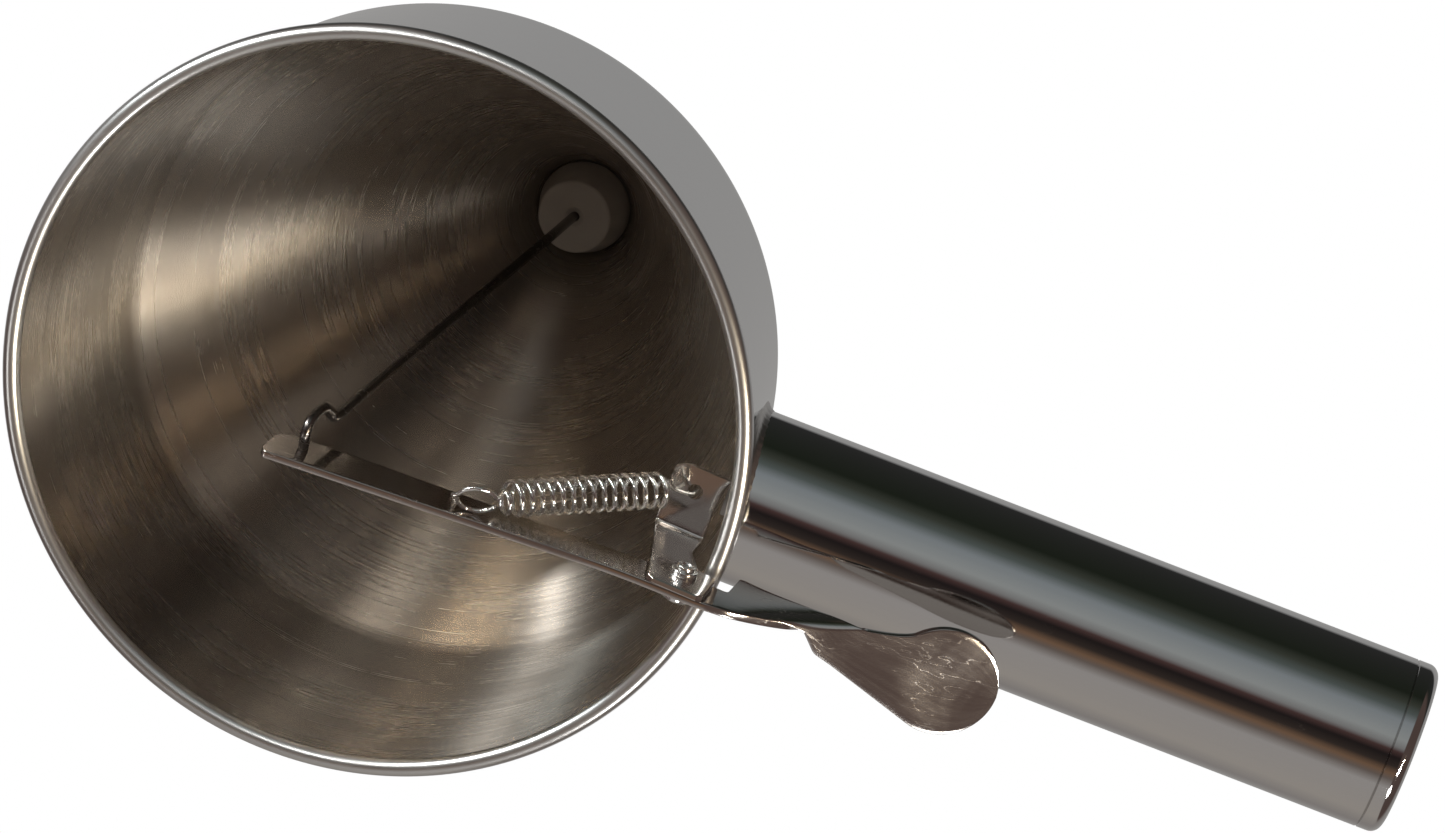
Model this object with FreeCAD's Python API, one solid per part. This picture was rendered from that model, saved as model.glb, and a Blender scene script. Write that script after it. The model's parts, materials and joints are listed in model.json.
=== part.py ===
import FreeCAD
import Part
import math
import os

# Automatic dispensing funnel with a lever-operated drop stopper.
# Millimetres. Origin: centre of the spout's lower end. +Z: funnel axis, up out
# of the mouth. +X: towards the handle. Every piece is written in its rest place.

V = FreeCAD.Vector

# ---- funnel: driving dimensions ------------------------------------------
RIM_Z = 176.0                # height of the rim's top
RIM_R = 72.5                 # outer radius of the rolled rim
BEAD_R = 1.7                 # radius of the rolled bead
WALL = 0.9                   # sheet thickness of the funnel
BAND_TAPER = 5.2             # the band's inner radius is this much smaller at its foot
BAND_H = 55.0                # height of the nearly straight band
BEND_R = 15.0                # radius of the bend between band and cone
SPOUT_R = 8.0                # inner radius of the outlet
SPOUT_WALL = 1.0             # sheet thickness of the spout
SPOUT_L = 14.0               # length of the spout

# ---- handle --------------------------------------------------------------
TUBE_R = 16.8                # outer radius of the handle tube
TUBE_WALL = 1.0              # sheet thickness of the handle tube
TUBE_DROP = 28.2             # the handle axis crosses the funnel axis this far below the rim
TUBE_TILT = 6.5              # the handle slopes down outwards, degrees
TUBE_REACH = 124.5           # the tube's end lies this far outside the rim
CAP_L = 5.0                  # visible length of the end cap
CAP_ROUND = 3.0              # rounding of the end cap
CAP_T = 1.4                  # sheet thickness of the end cap
CAP_SKIRT_L = 6.0            # the cap's skirt reaches this far into the tube
WELD = 1.5                   # leg of the weld bead around the handle root

# ---- bracket and pivot ---------------------------------------------------
SHEET_GAP = 0.3              # air between sheets that move past each other
BRACKET_T = 1.2              # sheet thickness of the bracket
EAR_Y = -3.8                 # the bracket ear's +Y face
EAR_BACK = 5.3               # the ear reaches this far inwards of the pivot
EAR_FRONT = 5.7              # and this far outwards
EAR_RISE = 7.4               # and this far above it
EAR_CHAMFER = 0.6            # corners of the ear
RIM_CLEAR = 2.0              # the lever and the ear pass this far above the rim
SHELF_DROP = 14.4            # the shelf's top face lies this far below the rim
SHELF_L = 9.8                # depth of the shelf, wall to inner edge
SHELF_Y1 = 9.0               # the shelf's far edge
SHELF_HORN = 1.6             # its far corner reaches this much nearer to the wall
SHELF_CORNER = 2.0           # cut of its inner corner
ANCHOR_IN = 5.2              # spring anchor hole, from the shelf's inner edge
ANCHOR_Y = 4.4
ANCHOR_R = 1.5
FLANGE_W = 11.0              # flange that lies down the wall
FLANGE_H = 19.4
FLANGE_Y0 = -3.0
FLANGE_GAP = 0.36            # air between flange and wall at the flange's lower corner
SPOT_W = 7.0                 # weld between flange and wall
SPOT_H = 9.0
SPOT_DROP = 17.0             # the weld's foot lies this far below the shelf
PIVOT_INSET = 6.0            # the pivot lies this far inside the rim's outer edge
PIVOT_RISE = 6.5             # and this far above the rim
PIVOT_PIN_R = 1.5            # rivet shank
PIVOT_CLEAR = 0.06           # running clearance of the lever on the rivet
HEAD_STEP = 1.1              # the rivet's head stands out this far
HEAD_T = 1.2
NOSE_STEP = 0.3              # smaller step on the rivet's head
NOSE_T = 0.8
TAIL_STEP = 1.3              # formed tail behind the washer
TAIL_T = 1.3
WASHER_STEP = 1.9            # the washer stands out this far around the shank
WASHER_T = 0.5
WASHER_CLEAR = 0.05

# ---- lever ---------------------------------------------------------------
LEVER_T = 1.5                # sheet thickness of the lever
TIP_X = -11.4                # inner end of the lever
TIP_TOP = RIM_Z + 29.8       # top edge at the tip
TIP_H = 13.2                 # height of the lever at the tip
ROD_HOLE_X = -5.5            # hole that carries the rod's crook
ROD_HOLE_Z = RIM_Z + 22.4
NECK_OUT = 3.5               # the flat web ends this far outside the rim
NECK_TOP = RIM_Z + 11.3
NECK_LOW = RIM_Z - 7.6
LOBE_OUT = 2.3               # the web's outer lobe starts this far outside the rim
PAD_START = 19.5             # origin of the pad's plane, outside the rim
PAD_RISE = 2.7               # and above it
PAD_U = 26.5                 # centre of the thumb pad, along the slope from that origin
PAD_V = -2.2                 # and beside the lever's face
PAD_R = 10.6                 # radius of the thumb pad
PAD_SLOPE = 17.7             # the pad slopes down outwards, degrees
FOLD_A = (-1.2, -1.0)        # fold between neck and pad, as (along the slope, beside the face)
FOLD_B = (9.8, 3.0)
LAP_A = (0.8, -3.1)          # the neck runs on to here inside the pad's sheet
LAP_B = (11.8, 2.8)
SHOULDER = (1.9, -4.4)       # outline from the fold to the pad's disc
HEEL = (4.0, -5.35)
FOOT = (5.6, -5.6)

# ---- rod, spring and stopper ---------------------------------------------
ROD_R = 1.0                  # rod wire radius
ROD_CLEAR = 0.08             # running clearance of the crook in the lever
ROD_NECK = 10.0              # the crook starts this far below the lever's hole
ROD_LEAN = 2.1               # and this far beside it
CROOK = [(0.4, 8.1, -3.4), (-0.2, 7.1, 1.2), (-0.1, 4.5, 2.2), (0.0, 2.1, 0.0)]
CROOK_END = 1.6              # the crook's end behind the lever
SPRING_R = 3.2               # mean radius of the return spring
SPRING_WIRE = 0.9            # wire diameter
SPRING_TURNS = 16
SPRING_HOLE_X = 22.0         # spring hole in the lever
SPRING_HOLE_Z = RIM_Z + 15.8
SPRING_HOLE_R = 1.3
SPRING_OUT = 2.8             # the coil's axis starts this far out from the lever's face
EYE_R = 3.3                  # ring at the lever end
EYE_LEAN = 54.0              # lean of that ring, degrees
COIL_START = 8.6             # the coil starts this far from the lever's hole
COIL_STOP = 5.6              # and ends this far from the anchor
HOOK_END = 1.0               # wire ends past the far side of a sheet
SEAT_GAP = 0.3               # gap between stopper and cone when closed
PLUG_RISE = 12.6             # top face of the stopper above the spout
PLUG_TOP_R = SPOUT_R - 0.5
PLUG_MAX_R = SPOUT_R + 1.4
PLUG_TAIL_R = SPOUT_R - 0.8  # tail that guides the stopper into the outlet
PLUG_TAIL = 3.2              # the tail reaches this far into the spout
PLUG_BAND = 0.8              # straight band at the stopper's widest place
PLUG_CLEAR = 0.05            # between rod and stopper
NUT_R = 2.3                  # corner radius of the nut
NUT_H = 1.7
NUT_GAP = 0.1
NUT_CLEAR = 0.03
ROD_TAIL = 1.0               # the rod's end below the nut

# ---- places that follow --------------------------------------------------
BAND_R_TOP = RIM_R - 2 * BEAD_R
BAND_R_LOW = BAND_R_TOP - BAND_TAPER
BAND_LOW_Z = RIM_Z - BAND_H
CONE_END_Z = SPOUT_L
TOP = (BAND_R_TOP, RIM_Z - BEAD_R)
CORNER = (BAND_R_LOW, BAND_LOW_Z)
LOW = (SPOUT_R, CONE_END_Z)
CONE_A = math.atan2(BAND_R_LOW - SPOUT_R, BAND_LOW_Z - CONE_END_Z)
BAND_A = math.atan2(BAND_TAPER, BAND_H - BEAD_R)
ABOVE = RIM_Z + 60.0         # height that is clear of the funnel
TUBE_START = 0.75 * BAND_R_LOW
TUBE_END = RIM_R + TUBE_REACH
PIVOT_X = RIM_R - PIVOT_INSET
PIVOT_Z = RIM_Z + PIVOT_RISE
EAR_Y0 = EAR_Y - BRACKET_T
LEVER_Y = EAR_Y0 - SHEET_GAP
LEVER_Y0 = LEVER_Y - LEVER_T
WASHER_Y = LEVER_Y0 - SHEET_GAP
NECK_X = RIM_R + NECK_OUT
SHELF_Z = RIM_Z - SHELF_DROP
SHELF_LOW = SHELF_Z - BRACKET_T
FLANGE_Z = SHELF_LOW - FLANGE_H
FLANGE_WALL_R = BAND_R_TOP - (TOP[1] - FLANGE_Z) * math.tan(BAND_A)
SHELF_X1 = math.sqrt(FLANGE_WALL_R ** 2 - (FLANGE_Y0 + FLANGE_W) ** 2) - FLANGE_GAP
SHELF_X0 = SHELF_X1 - SHELF_L
ANCHOR_X = SHELF_X0 + ANCHOR_IN
PLUG_TOP = CONE_END_Z + PLUG_RISE
PLUG_LOW = CONE_END_Z - PLUG_TAIL
NUT_Z = PLUG_LOW - NUT_GAP - NUT_H


# ---- helpers -------------------------------------------------------------
def polygon(points):
    """Face bounded by a closed run of straight edges."""
    return Part.Face(Part.makePolygon(list(points) + [points[0]]))


def spin(points):
    """Solid of revolution about Z from (radius, height) corners."""
    face = polygon([V(r, 0, z) for r, z in points])
    return face.revolve(V(0, 0, 0), V(0, 0, 1), 360)


def rod_between(a, b, radius):
    """Round bar from a to b."""
    d = b.sub(a)
    return Part.makeCylinder(radius, d.Length, a, d)


def crossbar(x, z, y0, y1, radius):
    """Round bar along Y through (x, z)."""
    return rod_between(V(x, y0, z), V(x, y1, z), radius)


def bent_wire(points, radius):
    """Round wire through the points, with a ball at each corner."""
    pieces = []
    for a, b in zip(points[:-1], points[1:]):
        pieces.append(rod_between(a, b, radius))
    for p in points[1:-1]:
        pieces.append(Part.makeSphere(radius, p))
    return pieces[0].multiFuse(pieces[1:]).removeSplitter()


def corner_round(before, corner, after, radius, count):
    """Points of the arc that rounds a corner of a run of (r, z) points."""
    ax = before[0] - corner[0]
    az = before[1] - corner[1]
    bx = after[0] - corner[0]
    bz = after[1] - corner[1]
    la = math.hypot(ax, az)
    lb = math.hypot(bx, bz)
    ax, az, bx, bz = ax / la, az / la, bx / lb, bz / lb
    half = math.acos(ax * bx + az * bz) / 2
    reach = radius / math.tan(half)
    mx, mz = ax + bx, az + bz
    lm = math.hypot(mx, mz)
    cx = corner[0] + mx / lm * radius / math.sin(half)
    cz = corner[1] + mz / lm * radius / math.sin(half)
    start = math.atan2(corner[1] + az * reach - cz, corner[0] + ax * reach - cx)
    stop = math.atan2(corner[1] + bz * reach - cz, corner[0] + bx * reach - cx)
    if stop - start > math.pi:
        stop -= 2 * math.pi
    if stop - start < -math.pi:
        stop += 2 * math.pi
    run = []
    for i in range(count + 1):
        a = start + (stop - start) * i / count
        run.append((cx + radius * math.cos(a), cz + radius * math.sin(a)))
    return run


def along(shape, a, b):
    """Move a shape built around +Z at the origin so that +Z points from a to b."""
    d = b.sub(a).normalize()
    turned = shape.copy()
    turned.Placement = FreeCAD.Placement(a, FreeCAD.Rotation(V(0, 0, 1), d))
    return turned


# ---- funnel --------------------------------------------------------------
def wall_run(offset):
    """Funnel wall from rim to outlet as (r, z) points, moved outwards by offset."""
    mid = (BAND_A + CONE_A) / 2
    push = offset / math.cos((CONE_A - BAND_A) / 2)
    top = (TOP[0] + offset / math.cos(BAND_A), TOP[1])
    corner = (CORNER[0] + push * math.cos(mid), CORNER[1] - push * math.sin(mid))
    low = (LOW[0] + offset / math.cos(CONE_A), LOW[1])
    return [top] + corner_round(top, corner, low, BEND_R + offset, 10) + [low]


def envelope(offset):
    """Everything inside the funnel wall moved outwards by offset."""
    run = wall_run(offset)
    return spin([(0, run[-1][1])] + run[::-1] + [(run[0][0], ABOVE), (0, ABOVE)])


def funnel_shell():
    """Spun cone and band with the bead rolled outwards at the rim."""
    wall = spin(wall_run(0) + wall_run(WALL)[::-1])
    bead = Part.makeTorus(RIM_R - BEAD_R, BEAD_R, V(0, 0, RIM_Z - BEAD_R), V(0, 0, 1))
    core = Part.makeCylinder(BAND_R_TOP, 4 * BEAD_R, V(0, 0, RIM_Z - 3 * BEAD_R))
    return wall.fuse(bead.cut(core)).removeSplitter()


def outlet_spout():
    """Straight outlet under the cone."""
    ring = Part.makeCylinder(SPOUT_R + SPOUT_WALL, SPOUT_L)
    return ring.cut(Part.makeCylinder(SPOUT_R, SPOUT_L))


# ---- handle --------------------------------------------------------------
TILT = math.radians(TUBE_TILT)
AXIS = V(math.cos(TILT), 0, -math.sin(TILT))
AXIS_0 = V(0, 0, RIM_Z - TUBE_DROP)


def on_axis(s):
    """Point of the handle's axis, s from the funnel's axis."""
    return AXIS_0 + V(AXIS) * s


def handle_bar(radius, stop):
    """Round bar on the handle's axis, from inside the funnel to stop."""
    return rod_between(on_axis(TUBE_START), on_axis(stop), radius)


def handle_tube():
    """Tube whose inner end is cut to the funnel's wall."""
    tube = handle_bar(TUBE_R, TUBE_END).cut(handle_bar(TUBE_R - TUBE_WALL, TUBE_END))
    return tube.cut(envelope(WALL))


def handle_weld():
    """Ring of weld around the tube where it meets the wall."""
    ring = handle_bar(TUBE_R + WELD, TUBE_END).cut(handle_bar(TUBE_R, TUBE_END))
    return ring.common(envelope(WALL + WELD)).cut(envelope(WALL))


def handle_end_cap():
    """Rounded cap with a skirt that sits inside the tube."""
    arc = []
    for i in range(9):
        a = math.radians(90 * i / 8)
        out = TUBE_R - CAP_ROUND + CAP_ROUND * math.cos(a)
        arc.append((out, CAP_L - CAP_ROUND + CAP_ROUND * math.sin(a)))
    skirt = TUBE_R - TUBE_WALL
    outline = [(0, CAP_L)] + arc[::-1] + [(TUBE_R, 0), (skirt, 0), (skirt, -CAP_SKIRT_L)]
    outline += [(skirt - CAP_T, -CAP_SKIRT_L), (skirt - CAP_T, CAP_L - CAP_T), (0, CAP_L - CAP_T)]
    return along(spin(outline), on_axis(TUBE_END), on_axis(TUBE_END + 1))


# ---- bracket and pivot ---------------------------------------------------
def pivot_bracket():
    """Folded sheet: spring shelf, upright ear and a flange down the wall."""
    shelf = polygon([
        V(SHELF_X0, EAR_Y0, SHELF_Z),
        V(SHELF_X1, EAR_Y0, SHELF_Z),
        V(SHELF_X1, SHELF_Y1 - 3.0, SHELF_Z),
        V(SHELF_X1 + SHELF_HORN, SHELF_Y1 + EAR_CHAMFER, SHELF_Z),
        V(SHELF_X0 + SHELF_CORNER, SHELF_Y1, SHELF_Z),
        V(SHELF_X0 + EAR_CHAMFER, SHELF_Y1 - EAR_CHAMFER, SHELF_Z),
        V(SHELF_X0, SHELF_Y1 - SHELF_CORNER, SHELF_Z),
    ]).extrude(V(0, 0, -BRACKET_T))
    back = PIVOT_X - EAR_BACK
    front = PIVOT_X + EAR_FRONT
    top = PIVOT_Z + EAR_RISE
    over = RIM_Z + RIM_CLEAR
    ear = polygon([
        V(SHELF_X0, EAR_Y0, SHELF_LOW),
        V(SHELF_X1, EAR_Y0, SHELF_LOW),
        V(SHELF_X1, EAR_Y0, RIM_Z - BEAD_R),
        V(PIVOT_X + 1.5, EAR_Y0, over),
        V(front - EAR_CHAMFER, EAR_Y0, over),
        V(front, EAR_Y0, over + EAR_CHAMFER),
        V(front, EAR_Y0, top - EAR_CHAMFER),
        V(front - EAR_CHAMFER, EAR_Y0, top),
        V(back + EAR_CHAMFER, EAR_Y0, top),
        V(back, EAR_Y0, top - EAR_CHAMFER),
    ]).extrude(V(0, BRACKET_T, 0))
    corner = V(SHELF_X1 - BRACKET_T, FLANGE_Y0, FLANGE_Z)
    flange = Part.makeBox(BRACKET_T, FLANGE_W, FLANGE_H + BRACKET_T, corner)
    anchor = Part.makeCylinder(ANCHOR_R, 4 * BRACKET_T, V(ANCHOR_X, ANCHOR_Y, SHELF_Z - 2 * BRACKET_T))
    pin = crossbar(PIVOT_X, PIVOT_Z, EAR_Y0 - BRACKET_T, EAR_Y + BRACKET_T, PIVOT_PIN_R)
    return shelf.fuse([ear, flange]).cut([anchor, pin]).removeSplitter()


def bracket_weld():
    """Weld that fills the gap between the flange and the wall."""
    corner = V(SHELF_X1, FLANGE_Y0 + (FLANGE_W - SPOT_W) / 2, SHELF_LOW - SPOT_DROP)
    return Part.makeBox(6 * WALL, SPOT_W, SPOT_H, corner).common(envelope(0))


def pivot_rivet():
    """Rivet with a stepped head on the ear and a formed tail behind the washer."""
    tail = WASHER_Y - WASHER_T
    head = EAR_Y + HEAD_T
    shank = crossbar(PIVOT_X, PIVOT_Z, tail, EAR_Y, PIVOT_PIN_R)
    parts = [
        crossbar(PIVOT_X, PIVOT_Z, EAR_Y, head, PIVOT_PIN_R + HEAD_STEP),
        crossbar(PIVOT_X, PIVOT_Z, head, head + NOSE_T, PIVOT_PIN_R + NOSE_STEP),
        crossbar(PIVOT_X, PIVOT_Z, tail - TAIL_T, tail, PIVOT_PIN_R + TAIL_STEP),
    ]
    return shank.fuse(parts).removeSplitter()


def pivot_washer():
    """Washer between the lever and the rivet's tail."""
    ring = crossbar(PIVOT_X, PIVOT_Z, WASHER_Y - WASHER_T, WASHER_Y, PIVOT_PIN_R + WASHER_STEP)
    return ring.cut(crossbar(PIVOT_X, PIVOT_Z, WASHER_Y - 2, WASHER_Y + 2, PIVOT_PIN_R + WASHER_CLEAR))


# ---- lever ---------------------------------------------------------------
SLOPE = math.radians(PAD_SLOPE)
PAD_ORIGIN = V(RIM_R + PAD_START, LEVER_Y, RIM_Z + PAD_RISE)
PAD_ALONG = V(math.cos(SLOPE), 0, -math.sin(SLOPE))
PAD_UP = V(math.sin(SLOPE), 0, math.cos(SLOPE))


def on_pad(place):
    """Point of the pad's top face from (along the slope, beside the lever's face)."""
    return PAD_ORIGIN + V(PAD_ALONG) * place[0] + V(0, place[1], 0)


def lever_web():
    """Upright sheet from the rounded tip, over the rim, to the lobe outside it."""
    low = TIP_TOP - TIP_H
    lobe = RIM_R + LOBE_OUT
    over = RIM_Z + RIM_CLEAR
    outline = [
        (TIP_X, TIP_TOP),
        (TIP_X - 0.3, TIP_TOP - 4.0),
        (TIP_X, low + 4.6),
        (TIP_X + 1.1, low + 2.0),
        (TIP_X + 3.0, low + 0.2),
        (TIP_X + 5.4, low - 0.9),
        (PIVOT_X - 4.5, over + 1.0),
        (PIVOT_X + 0.5, over),
        (lobe, over),
        (lobe, NECK_LOW + 0.2),
        (NECK_X, NECK_LOW),
        (NECK_X, NECK_TOP),
        (NECK_X - 4.0, NECK_TOP + 1.1),
        (PIVOT_X - 11.5, NECK_TOP + 2.3),
    ]
    return polygon([V(x, LEVER_Y0, z) for x, z in outline]).extrude(V(0, LEVER_T, 0))


def lever_neck():
    """Ruled twist from the upright web to the sloping pad."""
    fold = on_pad(FOLD_B).sub(on_pad(FOLD_A)).normalize()
    thick = V(0, 1, 0) + PAD_UP
    thick = thick - V(fold) * thick.dot(fold)
    thick = thick.normalize() * (-LEVER_T)
    stations = [
        [V(NECK_X, LEVER_Y, NECK_TOP), V(NECK_X, LEVER_Y, NECK_LOW), V(0, -LEVER_T, 0)],
        [on_pad(FOLD_A), on_pad(FOLD_B), thick],
        [on_pad(LAP_A), on_pad(LAP_B), V(PAD_UP) * (-LEVER_T)],
    ]
    wires = []
    for a, b, t in stations:
        wires.append(Part.makePolygon([a, b, b + t, a + t, a]))
    return Part.makeLoft(wires, True, True)


def lever_pad():
    """Thumb pad: a disc and the blade that runs into it from the fold."""
    across = PAD_U - FOOT[0]
    beside = PAD_V - FOOT[1]
    gap = math.hypot(across, beside)
    aim = math.atan2(beside, across) - math.asin(PAD_R / gap)
    touch = math.sqrt(gap * gap - PAD_R * PAD_R)
    tangent = (FOOT[0] + touch * math.cos(aim), FOOT[1] + touch * math.sin(aim))
    inner = (PAD_U - 4.0, FOLD_B[1] - 0.2)
    corners = [FOLD_A, SHOULDER, HEEL, FOOT, tangent, (PAD_U, PAD_V), inner, FOLD_B]
    down = V(PAD_UP) * (-LEVER_T)
    blade = polygon([on_pad(p) for p in corners]).extrude(down)
    disc = Part.makeCylinder(PAD_R, LEVER_T, on_pad((PAD_U, PAD_V)) + down, PAD_UP)
    return blade.fuse(disc)


def lever():
    """One strip of sheet: web, twisted neck and thumb pad, with its three holes."""
    body = lever_web().fuse([lever_neck(), lever_pad()])
    y0 = LEVER_Y0 - LEVER_T
    y1 = LEVER_Y + LEVER_T
    holes = [
        crossbar(PIVOT_X, PIVOT_Z, y0, y1, PIVOT_PIN_R + PIVOT_CLEAR),
        crossbar(ROD_HOLE_X, ROD_HOLE_Z, y0, y1, ROD_R + ROD_CLEAR),
        crossbar(SPRING_HOLE_X, SPRING_HOLE_Z, y0, y1, SPRING_HOLE_R),
    ]
    return body.cut(holes).removeSplitter()


# ---- spring --------------------------------------------------------------
def return_spring():
    """Close-wound extension spring with a ring eye and a hook."""
    start = V(SPRING_HOLE_X, LEVER_Y + SPRING_OUT, SPRING_HOLE_Z)
    end = V(ANCHOR_X, ANCHOR_Y, SHELF_Z)
    line = end.sub(start)
    a = V(line).normalize()
    coil_l = line.Length - COIL_START - COIL_STOP
    r = SPRING_WIRE / 2
    helix = Part.makeHelix(coil_l / SPRING_TURNS, coil_l, SPRING_R)
    turn = FreeCAD.Rotation(V(0, 0, 1), a)
    helix.Placement = FreeCAD.Placement(start + V(a) * COIL_START, turn)
    edge = helix.Edges[0]
    first = edge.valueAt(edge.FirstParameter)
    way = edge.tangentAt(edge.FirstParameter)
    profile = Part.Wire([Part.makeCircle(r, first, way)])
    coil = Part.Wire(helix.Edges).makePipeShell([profile], True, True)
    edge = helix.Edges[-1]
    last = edge.valueAt(edge.LastParameter)
    side = V(0, 1, 0) - V(a) * a.y
    side = side.normalize()
    up = a.cross(side)
    centre = start + V(a) * (EYE_R + 1.4)
    lean = math.radians(EYE_LEAN)
    across = V(side) * math.cos(lean) - V(up) * math.sin(lean)
    ring = []
    for i in range(17):
        t = math.radians(20 + 320 * i / 16)
        ring.append(centre + V(a) * (EYE_R * math.cos(t)) + V(across) * (EYE_R * math.sin(t)))
    eye = bent_wire([first] + ring, r)
    drop = bent_wire([
        centre - V(a) * EYE_R,
        V(start.x, LEVER_Y + HOOK_END, start.z),
        V(start.x, LEVER_Y0 - HOOK_END, start.z),
    ], r)
    hook = bent_wire([
        last,
        start + V(a) * (COIL_START + coil_l + 1.6),
        end + V(-0.6, -0.2, 1.6),
        end + V(0, 0, 0.4),
        end - V(0, 0, BRACKET_T + HOOK_END),
    ], r)
    return coil.fuse([eye, drop, hook])


# ---- rod and stopper -----------------------------------------------------
def valve_rod():
    """Wire from under the stopper up to the crook that turns in the lever's hole."""
    points = [
        V(0, 0, NUT_Z - ROD_TAIL),
        V(0, 0, PLUG_TOP + ROD_R / 2),
        V(ROD_HOLE_X + ROD_LEAN, 0, ROD_HOLE_Z - ROD_NECK),
    ]
    for dx, dy, dz in CROOK:
        points.append(V(ROD_HOLE_X + dx, LEVER_Y + dy, ROD_HOLE_Z + dz))
    points.append(V(ROD_HOLE_X, LEVER_Y0 - CROOK_END, ROD_HOLE_Z))
    return bent_wire(points, ROD_R)


def stopper_plug():
    """Moulded cone that closes the outlet, with a tail that guides it."""
    slope = math.tan(CONE_A)
    back = SEAT_GAP / math.cos(CONE_A)
    z_max = CONE_END_Z + (PLUG_MAX_R + back - SPOUT_R) / slope
    z_tail = CONE_END_Z + (PLUG_TAIL_R + back - SPOUT_R) / slope
    bore = ROD_R + PLUG_CLEAR
    outline = [
        (bore, PLUG_TOP),
        (PLUG_TOP_R - 0.5, PLUG_TOP),
        (PLUG_TOP_R, PLUG_TOP - 0.5),
        (PLUG_MAX_R, z_max + PLUG_BAND),
        (PLUG_MAX_R, z_max),
        (PLUG_TAIL_R, z_tail),
        (PLUG_TAIL_R, PLUG_LOW + 0.6),
        (PLUG_TAIL_R - 0.6, PLUG_LOW),
        (bore, PLUG_LOW),
    ]
    return spin(outline)


def rod_nut():
    """Small hexagonal nut under the stopper."""
    hexagon = []
    for i in range(6):
        a = math.radians(60 * i)
        hexagon.append(V(NUT_R * math.cos(a), NUT_R * math.sin(a), NUT_Z))
    nut = polygon(hexagon).extrude(V(0, 0, NUT_H))
    return nut.cut(Part.makeCylinder(ROD_R + NUT_CLEAR, 2 * NUT_H, V(0, 0, NUT_Z - NUT_H / 2)))


PIECES = [
    ("funnel_shell", funnel_shell),
    ("outlet_spout", outlet_spout),
    ("handle_tube", handle_tube),
    ("handle_weld", handle_weld),
    ("handle_end_cap", handle_end_cap),
    ("pivot_bracket", pivot_bracket),
    ("bracket_weld", bracket_weld),
    ("pivot_rivet", pivot_rivet),
    ("pivot_washer", pivot_washer),
    ("lever", lever),
    ("return_spring", return_spring),
    ("valve_rod", valve_rod),
    ("stopper_plug", stopper_plug),
    ("rod_nut", rod_nut),
]

os.makedirs("parts", exist_ok=True)
for name, make in PIECES:
    shape = make()
    solids = shape.Solids
    print(name, "solids", len(solids), "valid", shape.isValid(), "volume", round(shape.Volume, 1))
    if len(solids) == 1:
        shape = solids[0]
    shape.exportStep("parts/" + name + ".step")
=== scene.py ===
import json
import math

import bmesh
import bpy
import numpy as np
from mathutils import Matrix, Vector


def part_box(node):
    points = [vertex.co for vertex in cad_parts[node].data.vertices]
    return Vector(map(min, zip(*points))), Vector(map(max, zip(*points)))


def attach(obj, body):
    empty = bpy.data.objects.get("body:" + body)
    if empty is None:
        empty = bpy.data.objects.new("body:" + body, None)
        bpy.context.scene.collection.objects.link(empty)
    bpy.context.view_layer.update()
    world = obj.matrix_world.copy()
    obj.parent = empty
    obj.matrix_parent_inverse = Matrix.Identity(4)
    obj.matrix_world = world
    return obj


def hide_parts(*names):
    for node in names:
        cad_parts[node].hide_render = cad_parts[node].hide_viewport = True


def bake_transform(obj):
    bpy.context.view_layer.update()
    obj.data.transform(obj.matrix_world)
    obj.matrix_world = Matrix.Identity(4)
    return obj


bl_info = {
    "name": "Lever Dispensing Funnel",
    "version": (1, 0, 0),
    "blender": (4, 5, 0),
    "location": "View3D > Sidebar > Funnel",
    "description": "Builds a hand-held dispensing funnel: bowl, grip, lever, spring and valve",
    "category": "Add Mesh",
}

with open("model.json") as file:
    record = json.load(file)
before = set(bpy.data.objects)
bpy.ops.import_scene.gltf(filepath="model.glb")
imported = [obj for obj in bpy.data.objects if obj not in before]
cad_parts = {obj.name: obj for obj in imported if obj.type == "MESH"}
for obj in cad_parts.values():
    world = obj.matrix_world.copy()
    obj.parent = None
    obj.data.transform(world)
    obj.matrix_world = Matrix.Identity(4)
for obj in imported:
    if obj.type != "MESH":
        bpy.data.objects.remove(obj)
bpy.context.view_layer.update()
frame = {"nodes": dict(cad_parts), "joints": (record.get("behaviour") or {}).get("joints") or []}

MM = 0.001
MERGE = 1e-6
GRAIN_MAP = "Grain"
GRAIN_RING = 0.07        # radius at which a ringed grain is read
BAND_SHARE = 0.08        # bands to a metre, as a share of the fine lines
LINES_SHARE = 0.6        # how much of the colour's streaks comes from the fine lines
WALL_ROUNDS = 12         # steps to the place where a tube's line leaves the wall
BOWL_SIDES = 288
TUBE_SIDES = 128
PIPE_SIDES = 96
NUT_SIDES = 72
PIN_SIDES = 64
FLOOR_SIDES = 64
X, Y, Z = np.eye(3)

SHELL_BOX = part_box("funnel_shell")
SPOUT_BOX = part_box("outlet_spout")
LEVER_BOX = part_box("lever")
PLUG_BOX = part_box("stopper_plug")
NUT_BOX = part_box("rod_nut")
ROD_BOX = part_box("valve_rod")
JOINTS = {joint["name"]: np.array(joint["pos_m"], float) for joint in frame["joints"]}
PIVOT = JOINTS["lever_pivot"]
ROD_HOLE = JOINTS["rod_hook"]
SHELF_DROP = 20.9 * MM   # from the pivot down to the top of the spring's shelf
SIDE_GAP = 0.3 * MM      # beside the lever, to the ear and to the washer
OVER_RIM = 2.0 * MM      # from the rim up to the lever and the ear that pass over it
PAD_CENTRE = np.array([26.5, -2.2]) * MM


# ---- sizes and finishes --------------------------------------------------
def length(name, default, description):
    """A size in metres."""
    return bpy.props.FloatProperty(name=name, description=description, default=default,
                                   precision=4, unit="LENGTH")


def turn(name, degrees, description):
    """An angle."""
    return bpy.props.FloatProperty(name=name, description=description,
                                   default=math.radians(degrees), unit="ROTATION")


def share(name, default, description):
    """A plain number from 0 to 1."""
    return bpy.props.FloatProperty(name=name, description=description, default=default,
                                   min=0.0, max=1.0, subtype="FACTOR")


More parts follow.
